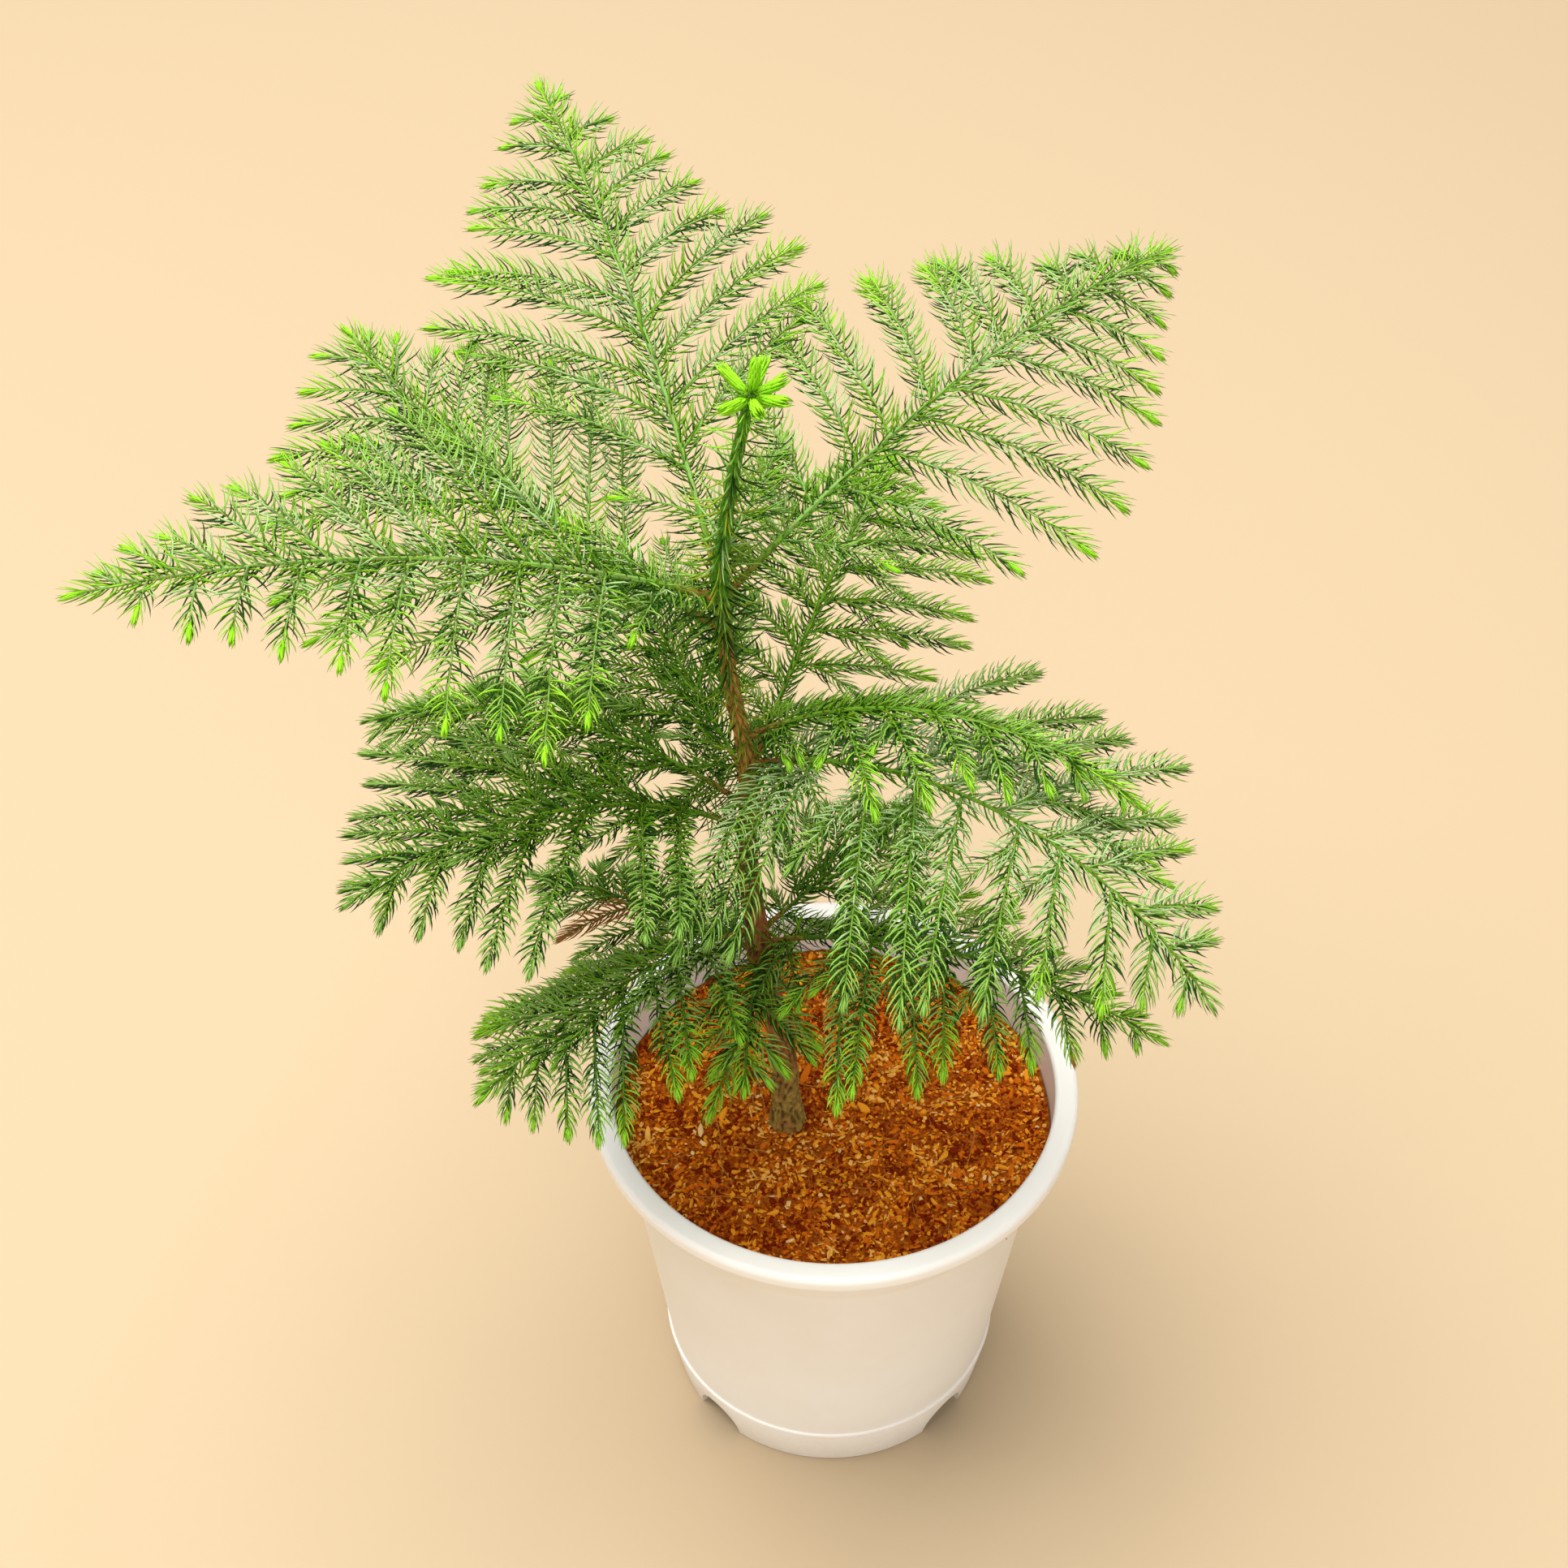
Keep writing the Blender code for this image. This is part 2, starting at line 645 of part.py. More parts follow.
def main():
    clear_scene()
    home = collection("norfolk_island_pine")
    cutters = collection("cutters")
    make_pot(home, cutters)
    make_growing_medium(home)
    make_trunk(home)
    make_boughs(home, make_trunk_cutter(cutters))
    make_rosette(home)
    make_masses(home)


main()
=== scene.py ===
# %% [markdown]
# # A Norfolk Island pine in its nursery pot
#
# The object is a young conifer: a thin brown trunk, three loose whorls of flat fronds, and a
# rosette of lime green shoots at the top. Its solids already stand in the scene, plain and coarse.
# This lesson dresses them, and each step says what the real piece is and why it is made this way.
# All lengths are in metres, and MM turns millimetres into them.

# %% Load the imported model
import math
import random
from collections import namedtuple

import bmesh
import bpy
import numpy as np
from mathutils import Matrix, Vector, noise


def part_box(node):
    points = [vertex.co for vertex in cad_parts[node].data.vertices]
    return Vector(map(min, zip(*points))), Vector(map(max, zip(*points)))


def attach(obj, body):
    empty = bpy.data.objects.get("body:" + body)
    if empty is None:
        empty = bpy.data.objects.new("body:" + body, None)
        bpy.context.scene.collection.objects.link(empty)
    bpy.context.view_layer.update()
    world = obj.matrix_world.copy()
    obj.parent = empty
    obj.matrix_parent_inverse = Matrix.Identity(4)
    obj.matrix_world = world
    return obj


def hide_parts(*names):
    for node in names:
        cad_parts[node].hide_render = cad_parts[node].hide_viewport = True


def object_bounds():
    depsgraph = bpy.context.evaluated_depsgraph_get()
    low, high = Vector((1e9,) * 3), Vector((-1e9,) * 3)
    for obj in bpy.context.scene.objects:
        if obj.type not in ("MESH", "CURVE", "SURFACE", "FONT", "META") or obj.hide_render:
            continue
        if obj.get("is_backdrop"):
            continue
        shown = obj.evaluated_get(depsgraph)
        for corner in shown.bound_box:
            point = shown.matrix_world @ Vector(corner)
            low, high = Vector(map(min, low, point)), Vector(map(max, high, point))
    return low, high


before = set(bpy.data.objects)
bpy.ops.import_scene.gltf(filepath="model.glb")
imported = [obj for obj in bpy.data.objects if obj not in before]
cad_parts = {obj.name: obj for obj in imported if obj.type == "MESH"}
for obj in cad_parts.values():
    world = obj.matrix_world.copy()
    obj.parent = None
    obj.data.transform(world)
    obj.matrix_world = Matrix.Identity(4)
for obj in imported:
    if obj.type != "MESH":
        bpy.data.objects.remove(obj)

MM = 0.001
UP = Vector((0, 0, 1))
CAD_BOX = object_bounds()
box_sides = [round(side / MM) for side in CAD_BOX[1] - CAD_BOX[0]]
print("solids:", len(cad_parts), "box:", box_sides, "mm")

# %% [markdown]
# ## The camera
#
# A camera can be placed by eye, or worked out from a known shape. Here the round rim, soil and foot
# of the pot are ellipses in the photo, and they fix the lens, the height and the tilt. The camera's
# place is given from the foot of the pot's axis.

# %% The camera
pot_low, pot_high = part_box("pot")
POT_AT = Vector(((pot_low.x + pot_high.x) / 2, (pot_low.y + pot_high.y) / 2, 0))
POT_HEIGHT = pot_high.z
FOCAL_LENGTH_PX = 3300
PHOTO_WIDTH_PX = 1932
SENSOR_MM = 36
CAMERA_FROM_POT_MM = Vector((-15.7, -541.1, 796.2))
LOOK_DOWN_DEG = 44.36


def put_in_scene(name, data):
    """A new object of that name and data, in the scene."""
    made = bpy.data.objects.new(name, data)
    bpy.context.scene.collection.objects.link(made)
    return made


camera_data = bpy.data.cameras.new("photo_camera")
camera_data.sensor_width = SENSOR_MM
camera_data.lens = FOCAL_LENGTH_PX / PHOTO_WIDTH_PX * SENSOR_MM
camera = put_in_scene("photo_camera", camera_data)
camera.location = POT_AT + CAMERA_FROM_POT_MM * MM
camera.rotation_euler = (math.radians(90 - LOOK_DOWN_DEG), 0, 0)
bpy.context.scene.camera = camera
print("lens:", round(camera_data.lens, 1), "mm")

# %% [markdown]
# ## Small helpers
#
# A piece needs an object, a place in the scene, a body to ride on and the node it stands for. One
# helper does that for every piece. Others make materials, so that a finish reads as a short list
# of what feeds what.

# %% Helpers for pieces
SMOOTH_BELOW = math.radians(35)


def add_piece(name, mesh, looks, slot, *nodes):
    """Puts a mesh in the scene as a piece that rides on the root, and hides the CAD nodes that it
    replaces.
    """
    mesh.name = name
    for look in looks:
        mesh.materials.append(look)
    piece = put_in_scene(name, mesh)
    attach(piece, "root")
    if nodes:
        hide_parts(*nodes)
    mesh.calc_loop_triangles()
    print(name, len(mesh.loop_triangles), "triangles")


def smoothed(mesh):
    """The mesh shaded smooth everywhere but at its real edges."""
    mesh.shade_smooth()
    mesh.set_sharp_from_angle(angle=SMOOTH_BELOW)
    return mesh


def mesh_of(bm, smooth=True):
    mesh = bpy.data.meshes.new("made")
    bm.to_mesh(mesh)
    bm.free()
    return smoothed(mesh) if smooth else mesh


def evaluated_mesh(thing):
    """The mesh that an object's modifiers or bevel make. The object itself is then removed."""
    bpy.context.view_layer.update()
    graph = bpy.context.evaluated_depsgraph_get()
    mesh = bpy.data.meshes.new_from_object(thing.evaluated_get(graph))
    bpy.data.objects.remove(thing, do_unlink=True)
    return mesh


# %% Helpers for materials
def material(name, colour, roughness, specular):
    """A Principled material of one colour, with its tree and shader for a finish to build on."""
    made = bpy.data.materials.new(name)
    made.use_nodes = True
    made.diffuse_color = (*colour, 1)
    shader = made.node_tree.nodes["Principled BSDF"]
    shader.inputs["Base Color"].default_value = (*colour, 1)
    shader.inputs["Roughness"].default_value = roughness
    shader.inputs["Specular IOR Level"].default_value = specular
    return made, made.node_tree, shader


def feed(tree, socket, value):
    """Links an input to the socket that feeds it, or gives it a plain value."""
    if isinstance(value, bpy.types.NodeSocket):
        tree.links.new(value, socket)
    else:
        socket.default_value = value


def node(tree, kind, settings=(), **inputs):
    """A shader node with its settings, whose inputs are values or the sockets that feed them."""
    made = tree.nodes.new("ShaderNode" + kind)
    for key, value in dict(settings).items():
        setattr(made, key, value)
    for key, value in inputs.items():
        feed(tree, made.inputs[key], value)
    return made


def mix(tree, share, first, second, blend="MIX"):
    """Two colours mixed by a share. In colour mode the node's own are inputs 6, 7 and output 2."""
    made = node(tree, "Mix", {"data_type": "RGBA", "blend_type": blend}, Factor=share)
    feed(tree, made.inputs[6], first)
    feed(tree, made.inputs[7], second)
    return made.outputs[2]


def ramp(tree, value, *stops):
    """A colour ramp fed by a value. Each stop is a place and a grey or a colour."""
    made = node(tree, "ValToRGB", Fac=value)
    marks = made.color_ramp.elements
    while len(marks) < len(stops):
        marks.new(0.5)
    for mark, (place, colour) in zip(marks, stops):
        mark.position = place
        mark.color = (*colour, 1) if isinstance(colour, tuple) else (colour, colour, colour, 1)
    return made.outputs["Color"]


def noise_of(tree, where, scale, detail, roughness=0.6):
    """A noise's value at a place. Its scale is the number of its waves in a metre."""
    made = node(tree, "TexNoise", Vector=where, Scale=scale, Detail=detail, Roughness=roughness)
    return made.outputs["Fac"]


def bump(tree, shader, height, distance, strength):
    """Feeds a height to the shader as relief. The distance is how high it would really stand."""
    made = node(tree, "Bump", Height=height, Distance=distance, Strength=strength)
    tree.links.new(made.outputs["Normal"], shader.inputs["Normal"])


# %% [markdown]
# ## Floor and light
#
# The photo was taken outdoors in bright, soft light from the upper left. A big area light does that
# in a studio, and a pale world fills the shade.

# %% Floor and light
FLOOR_REACH = 6
FLOOR_COLOUR = (0.5, 0.387, 0.252)
LIGHT_AIM = Vector((0, 0, 0.2))

floor_mesh = bmesh.new()
bmesh.ops.create_grid(floor_mesh, x_segments=1, y_segments=1, size=FLOOR_REACH)
floor = put_in_scene("floor", mesh_of(floor_mesh, smooth=False))
floor.data.materials.append(material("pale_floor", FLOOR_COLOUR, 0.9, 0.1)[0])
floor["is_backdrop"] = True


def soft_light(name, place, size, watts, colour):
    """A square area light that looks at the middle of the plant."""
    data = bpy.data.lights.new(name, "AREA")
    data.size = size
    data.energy = watts
    data.color = colour
    lamp = put_in_scene(name, data)
    lamp.location = Vector(place)
    lamp.rotation_euler = (LIGHT_AIM - lamp.location).to_track_quat("-Z", "Y").to_euler()


soft_light("key", (-0.5, 0.25, 2.7), size=2.4, watts=142, colour=(1, 0.98, 0.94))
soft_light("fill", (0.3, -2.2, 1.5), size=1.6, watts=24, colour=(1, 0.98, 0.95))
world = bpy.data.worlds.new("pale_studio")
world.use_nodes = True
background = world.node_tree.nodes["Background"]
background.inputs["Color"].default_value = (1, 0.97, 0.92, 1)
background.inputs["Strength"].default_value = 0.4
bpy.context.scene.world = world
bpy.context.scene.view_settings.view_transform = "Standard"

# %% [markdown]
# ## The pot
#
# The pot is one thin moulded shell: a rolled rim, a short collar that flares out to it, a plain
# wall, and a skirt with four drainage arches. A lathe shape is best spun from its outline. The
# rim's lip and the skirt's top edge are arcs, so that they catch the light as moulded plastic does.
# The arches are cut with a Boolean.

# %% The pot's outline
POT_STEPS = 144
FOOT_RADIUS = 53.2 * MM
SKIRT_RADIUS = 56.2 * MM
SKIRT_TOP = 18.6 * MM
BODY_FOOT_RADIUS = 55.4 * MM
NECK_RADIUS = 66.9 * MM
NECK_HEIGHT = 112.5 * MM
RIM_RADIUS = 77.5 * MM
RIM_LIP_HEIGHT = 133.6 * MM
MOUTH_RADIUS = 70 * MM
WALL = 1.6 * MM
FLOOR_UNDERSIDE = 13.6 * MM
FLOOR_TOP = 15.2 * MM
ARCH_AZIMUTHS = (-135, -44, 42, 135)
ARCH_WIDTH = 18 * MM
ARCH_HEIGHT = 12.8 * MM
RIM_ROUND = 2 * MM
FLOOR_ROUND = 2 * MM
MOUTH_ROUND = 1.5 * MM
SKIRT_ROUND = 0.7 * MM


def arc(radius, height, size, start, end, steps=6):
    """Points on a quarter or half round of the outline, from one angle to another in degrees."""
    angles = [math.radians(start + (end - start) * k / steps) for k in range(steps + 1)]
    return [(radius + size * math.cos(a), height + size * math.sin(a)) for a in angles]


pot_outline = [
    (0, FLOOR_TOP),
    *arc(BODY_FOOT_RADIUS - WALL - FLOOR_ROUND, FLOOR_TOP + FLOOR_ROUND, FLOOR_ROUND, -90, 0),
    (NECK_RADIUS - WALL, NECK_HEIGHT),
    (MOUTH_RADIUS - 0.3 * MM, NECK_HEIGHT + 5.5 * MM),
    *arc(MOUTH_RADIUS + MOUTH_ROUND, POT_HEIGHT - MOUTH_ROUND, MOUTH_ROUND, 180, 90),
    *arc(RIM_RADIUS - RIM_ROUND, POT_HEIGHT - RIM_ROUND, RIM_ROUND, 90, 0),
    *arc(RIM_RADIUS - 1 * MM, RIM_LIP_HEIGHT - 1.4 * MM, 1 * MM, 0, -80, 4),
    (NECK_RADIUS + 1.3 * MM, NECK_HEIGHT + 2.5 * MM),
    (NECK_RADIUS + 0.5 * MM, NECK_HEIGHT + 1.1 * MM),
    (NECK_RADIUS, NECK_HEIGHT),
    (BODY_FOOT_RADIUS + 0.05 * MM, SKIRT_TOP + 0.9 * MM),
    *arc(SKIRT_RADIUS - SKIRT_ROUND, SKIRT_TOP - 0.5 * MM, SKIRT_ROUND, 90, 0, 4),
    (FOOT_RADIUS, 0.5 * MM),
    (FOOT_RADIUS - 0.5 * MM, 0),
    (FOOT_RADIUS - 2.2 * MM, 0),
    (SKIRT_RADIUS - 3.4 * MM, FLOOR_UNDERSIDE),
    (0, FLOOR_UNDERSIDE),
]


def spun(outline, steps):
    """An outline of radius and height, spun a full turn round the pot's axis and closed."""
    bm = bmesh.new()
    points = [bm.verts.new((radius, 0, height)) for radius, height in outline]
    edges = [bm.edges.new(pair) for pair in zip(points, points[1:])]
    bmesh.ops.spin(
        bm, geom=points + edges, axis=(0, 0, 1), cent=(0, 0, 0), dvec=(0, 0, 0),
        angle=math.tau, steps=steps, use_merge=True, use_normal_flip=False, use_duplicate=False,
    )
    bmesh.ops.remove_doubles(bm, verts=bm.verts, dist=0.01 * MM)
    bmesh.ops.recalc_face_normals(bm, faces=bm.faces)
    bmesh.ops.translate(bm, verts=bm.verts, vec=POT_AT)
    return bm


# %% The pot's arches and its shell
def cut_with(bm, cutter):
    """The first mesh with the second cut out of it, by an exact Boolean on two helper objects."""
    body, tool = (put_in_scene("helper", mesh_of(part, smooth=False)) for part in (bm, cutter))
    cut = body.modifiers.new("cut", "BOOLEAN")
    cut.operation = "DIFFERENCE"
    cut.object = tool
    mesh = evaluated_mesh(body)
    bpy.data.objects.remove(tool, do_unlink=True)
    return mesh


arches = bmesh.new()
for azimuth in ARCH_AZIMUTHS:
    arch = bmesh.ops.create_cone(
        arches, cap_ends=True, segments=32, radius1=1, radius2=1, depth=1
    )["verts"]
    bmesh.ops.rotate(arches, verts=arch, matrix=Matrix.Rotation(math.radians(90), 3, "Y"))
    bmesh.ops.scale(arches, verts=arch, vec=(ARCH_WIDTH, ARCH_WIDTH / 2, ARCH_HEIGHT))
    bmesh.ops.translate(arches, verts=arch, vec=(FOOT_RADIUS, 0, 0))
    bmesh.ops.rotate(arches, verts=arch, matrix=Matrix.Rotation(math.radians(azimuth), 3, "Z"))
bmesh.ops.translate(arches, verts=arches.verts, vec=POT_AT)
pot_mesh = smoothed(cut_with(spun(pot_outline, POT_STEPS), arches))
print("pot:", len(pot_mesh.polygons), "faces")

# %% [markdown]
# ### The pot's plastic
#
# White nursery pots are thin satin plastic. Close up they aren't one flat colour: the white is a
# little warm, the wall has a faint orange peel from the mould, and dust settles low down. The
# noise reads Object coordinates, so its scale is real, and so is the height that the dust reads.

# %% The pot's plastic
DUST_COLOUR = (0.5, 0.36, 0.2, 1)
DUST_HEIGHT = 30 * MM
pot_look, tree, shader = material("white_nursery_plastic", (0.9, 0.88, 0.85), 0.38, 0.45)
where = node(tree, "TexCoord").outputs["Object"]
clouds = noise_of(tree, where, 26, 3)
low_streaks = node(tree, "Mapping", Vector=where, Scale=(1, 1, 9)).outputs["Vector"]
scuffs = noise_of(tree, low_streaks, 190, 6, 0.7)
tint = ramp(tree, clouds, (0.35, (0.92, 0.9, 0.87)), (0.7, (0.89, 0.86, 0.81)))
height = node(tree, "SeparateXYZ", Vector=where).outputs["Z"]
dust = ramp(tree, height, (0, 0.42), (0.4 * DUST_HEIGHT, 0.2), (DUST_HEIGHT, 0))
dust_grain = node(tree, "Math", {"operation": "MULTIPLY"})
feed(tree, dust_grain.inputs[0], dust)
feed(tree, dust_grain.inputs[1], noise_of(tree, where, 420, 5, 0.7))
paint = mix(tree, dust_grain.outputs[0], tint, DUST_COLOUR)
tree.links.new(paint, shader.inputs["Base Color"])
tree.links.new(ramp(tree, scuffs, (0.3, 0.33), (0.75, 0.52)), shader.inputs["Roughness"])
bump(tree, shader, noise_of(tree, where, 900, 2), 0.04 * MM, 0.5)
add_piece("pot_shell", pot_mesh, [pot_look], "pot", "pot")

# %% [markdown]
# ## The plant's rule
#
# A Norfolk Island pine grows by a plain rule: whorls of fronds up one stem, and two rows of
# branchlets on each frond. The solids were made by that rule, so it is written again here with the
# same seeds, and everything finer hangs on it. Each frond is one row of numbers.

# %% The trunk's route and the fronds
TRUNK_ROUTE_MM = (
    (120, -14.7), (128, -14.8), (155, -16.2), (197, -22.6), (243, -26.3), (275, -25.4),
    (305, -29.8), (335, -32.2), (352, -32), (378, -28.6), (404, -24),
)
TRUNK_FOOT = TRUNK_ROUTE_MM[0][0] * MM
TRUNK_TIP = TRUNK_ROUTE_MM[-1][0] * MM
TRUNK_DEPTH = -2.5 * MM
TRUNK_FOOT_RADIUS = 4.7 * MM
TRUNK_TIP_RADIUS = 1.5 * MM
FLARE_RADIUS = 1.6 * MM
FLARE_HEIGHT = 7 * MM
WHORL_SWELLING = 0.8 * MM
WHORL_SPREAD = 9 * MM

Frond = namedtuple(
    "Frond",
    "name whorl node azimuth rise droop swing length pairs left right "
    "sweep_base sweep_tip roll lift sag widest",
)
FROND_NUMBERS = {
    "top_back": (340, 105, 27, 23, 6, 190, 10, 70, 72, 43, 52, 0, 0, 0.46, 0.38),
    "top_right": (337, 37, 32, 49, 16, 191, 10, 76, 62, 67, 50, 8, 0, 0.6, 0.38),
    "top_left": (338, 195, 29, 25, 10, 171, 10, 72, 78, 71, 63, 2, 8, 0.43, 0.26),
    "top_back_left": (327, 160, 21, 3, -30, 136, 9, 84, 70, 60, 37, 0, 6, 0.4, 0.32),
    "top_inner": (350, 66, 20, 5, 0, 42, 3, 8, 8, 50, 44, 0, 4, 0.4, 0.3),
    "middle_right": (277, -24, 32, 80, -13, 157.5, 8, 90, 76, 70, 66, -4, -1, 0.5, 0.35),
    "middle_far_right": (287, -10, 40, 74, -14, 120, 7, 30, 42, 60, 50, -20, -10, 0.6, 0.24),
    "middle_back": (274, 71, 14, 37, 7, 172, 9, 40, 54, 64, 48, 14, 8, 0.46, 0.5),
    "middle_back_left": (268, 115, 15, 30, 0, 114, 8, 42, 44, 46, 44, -14, 12, 0.46, 0.25),
    "middle_far_left": (260, 156, 28, 60, 9, 127, 8, 46, 62, 56, 38, 14, -6, 0.55, 0.45),
    "middle_left": (251, 203, 46, 63, 12, 131, 7, 85, 79, 56, 49, 15, 4, 0.42, 0.37),
    "lower_right": (203, -26, 36, 45, -8, 136, 9, 40, 66, 63, 50, -5, 4, 0.48, 0.26),
    "lower_left": (210, 216, 19, 42, 6, 102, 8, 60, 54, 66, 52, 24, -2, 0.48, 0.5),
    "lower_back_left": (199, 152, 6, 28, -6, 87, 6, 34, 48, 54, 45, 10, 0, 0.5, 0.3),
    "lower_back_right": (207, 46, 6, 40, 24, 100, 7, 38, 38, 50, 44, 5, 5, 0.5, 0.3),
    "lower_front": (197, -97, 25, 30, 6, 62, 4, 30, 30, 55, 45, 0, -12, 0.6, 0.3),
}
FRONDS = [Frond(name, name.split("_")[0], *row) for name, row in FROND_NUMBERS.items()]
WHORLS = ("top", "middle", "lower")
FIRST_PAIR = 0.17
LAST_PAIR = 0.95
SPACING_CHANCE = 0.12
ANGLE_CHANCE = 4
LENGTH_CHANCE = (0.93, 1.05)
SAG_CHANCE = (0.85, 1.15)
AXIS_STEPS = 40
TWIG_STEPS = 16
BOUGH_SHARE = 0.13
BOUGH_RADIUS = 1.7 * MM
TIP_LENGTH = 6 * MM
INNER_LOSS = 0.25


# %% The trunk's line
def heading(azimuth, rise):
    turn, tilt = math.radians(azimuth), math.radians(rise)
    level = math.cos(tilt)
    return Vector((math.cos(turn) * level, math.sin(turn) * level, math.sin(tilt)))


def on_trunk(height):
    """The middle of the trunk at a height, on a smooth curve through its route."""
    route = [(h * MM, x * MM) for h, x in TRUNK_ROUTE_MM]
    last = len(route) - 2
    k = next((i for i in range(last) if height < route[i + 1][0]), last)
    (h0, x0), (h1, x1) = route[k], route[k + 1]
    t = (height - h0) / (h1 - h0)

    def slope(i):
        a, b = route[max(i - 1, 0)], route[min(i + 1, len(route) - 1)]
        return (b[1] - a[1]) / (b[0] - a[0])

    m0, m1 = slope(k) * (h1 - h0), slope(k + 1) * (h1 - h0)
    x = (
        (2 * t**3 - 3 * t**2 + 1) * x0
        + (t**3 - 2 * t**2 + t) * m0
        + (3 * t**2 - 2 * t**3) * x1
        + (t**3 - t**2) * m1
    )
    return POT_AT + Vector((x, TRUNK_DEPTH, height))


def whorl_height(whorl):
    heights = [row.node * MM for row in FRONDS if row.whorl == whorl]
    return sum(heights) / len(heights)


WHORL_HEIGHTS = [whorl_height(whorl) for whorl in WHORLS]


def trunk_radius(height):
    """The trunk's taper, its flare at the ground and its swelling at each whorl."""
    share = (height - TRUNK_FOOT) / (TRUNK_TIP - TRUNK_FOOT)
    radius = TRUNK_FOOT_RADIUS + (TRUNK_TIP_RADIUS - TRUNK_FOOT_RADIUS) * max(share, 0) ** 0.8
    radius += FLARE_RADIUS * math.exp(-(height - TRUNK_FOOT) / FLARE_HEIGHT)
    for middle in WHORL_HEIGHTS:
        radius += WHORL_SWELLING * math.exp(-(((height - middle) / WHORL_SPREAD) ** 2))
    return radius


# %% The fronds' lines
def frond_axis(row):
    """The frond's own line: its heading turns by swing and bends down by droop along its length."""
    length = row.length * MM / AXIS_STEPS
    points, ways = [on_trunk(row.node * MM)], []
    for k in range(AXIS_STEPS):
        share = (k + 0.5) / AXIS_STEPS
        ways.append(heading(row.azimuth + row.swing * share, row.rise - row.droop * share))
        points.append(points[-1] + ways[-1] * length)
    ways.append(ways[-1])
    return points, ways


def along(points, share):
    """The point at a share of the way along evenly spaced points."""
    place_on = share * (len(points) - 1)
    k = min(int(place_on), len(points) - 2)
    return points[k].lerp(points[k + 1], place_on - k)


def branchlet_length(row, side, share):
    longest = (row.left if side > 0 else row.right) * MM
    if share > row.widest:
        size = (1 - share) / (1 - row.widest)
    else:
        size = 1 - INNER_LOSS * (row.widest - share) / row.widest
    return longest * size + TIP_LENGTH


def branchlets(row, seed):
    """Every branchlet of a frond: where it starts, its first heading, its length and its sag."""
    chance = random.Random(seed)
    points, ways = frond_axis(row)
    spacing = (LAST_PAIR - FIRST_PAIR) / row.pairs
    for k in range(row.pairs):
        for side in (1, -1):
            share = FIRST_PAIR + spacing * (k + (0.25 if side > 0 else 0.75))
            share += chance.uniform(-SPACING_CHANCE, SPACING_CHANCE) * spacing
            way = along(ways, share)
            across = UP.cross(way).normalized()
            over = way.cross(across)
            tilt = row.lift + side * row.roll + chance.uniform(-ANGLE_CHANCE, ANGLE_CHANCE)
            sweep = row.sweep_base + (row.sweep_tip - row.sweep_base) * share
            sweep += chance.uniform(-ANGLE_CHANCE, ANGLE_CHANCE)
            tilt, sweep = math.radians(tilt), math.radians(sweep)
            outward = across * side * math.cos(tilt) + over * math.sin(tilt)
            first = way * math.cos(sweep) + outward * math.sin(sweep)
            length = branchlet_length(row, side, share) * chance.uniform(*LENGTH_CHANCE)
            yield along(points, share), first, length, row.sag * chance.uniform(*SAG_CHANCE)


def twig_line(start, first, length, sag):
    """A twig's own line, which bends down more and more towards its tip."""
    points = [start.copy()]
    for k in range(TWIG_STEPS):
        way = (first - UP * sag * (k + 0.5) / TWIG_STEPS).normalized()
        points.append(points[-1] + way * length / TWIG_STEPS)
    return points


# %% [markdown]
# ## Finer twigs
#
# The older fronds carry a second order: a short side twig near the foot of each longer branchlet,
# and a few weak twigs close to the trunk, which on two fronds have grown long and hang before it.
# They fill the lower whorls and leave the top one open. Each twig keeps its order: 0 for a frond's
# stem, 1 for a branchlet or a long twig, and 2 for a short one.

# %% Finer twigs
Twig = namedtuple("Twig", "points radius order")
SIDE_TWIGS_FROM = 34 * MM
SIDE_TWIG_PLACE = 0.14
SIDE_TWIG_REACH = 0.4
FOOT_TWIGS = {"top": (0.11,), "middle": (0.06, 0.11), "lower": (0.1,), "middle_left": ()}
FOOT_TWIG_REACH = (0.3, 0.5)
LONG_FOOT_TWIGS = {"middle_right": (0.06, 0.1, 0.14), "lower_right": (0.08,)}
LONG_TWIG_REACH = (0.8, 0.92)
STEM_THICKNESS = 0.47
STEM_END = 0.985
BRANCHLET_RADIUS = 0.46 * MM
SIDE_TWIG_RADIUS = 0.36 * MM


def stem_radius(row):
    """The radius at the foot of a frond's stem, which is thicker on a longer frond."""
    return BOUGH_RADIUS * STEM_THICKNESS * (0.6 + row.length / 400)


def side_twig(line, length, sag, chance):
    """The twig of second order near the foot of a branchlet."""
    share = SIDE_TWIG_PLACE + chance.uniform(-0.04, 0.04)
    start = along(line, share)
    way = (along(line, share + 0.05) - start).normalized()
    across = UP.cross(way).normalized()
    reach = length * SIDE_TWIG_REACH * chance.uniform(0.8, 1.1)
    first = way - across * chance.uniform(0.7, 1) + UP * chance.uniform(-0.1, 0.2)
    return Twig(twig_line(start, first.normalized(), reach, sag), SIDE_TWIG_RADIUS, 2)


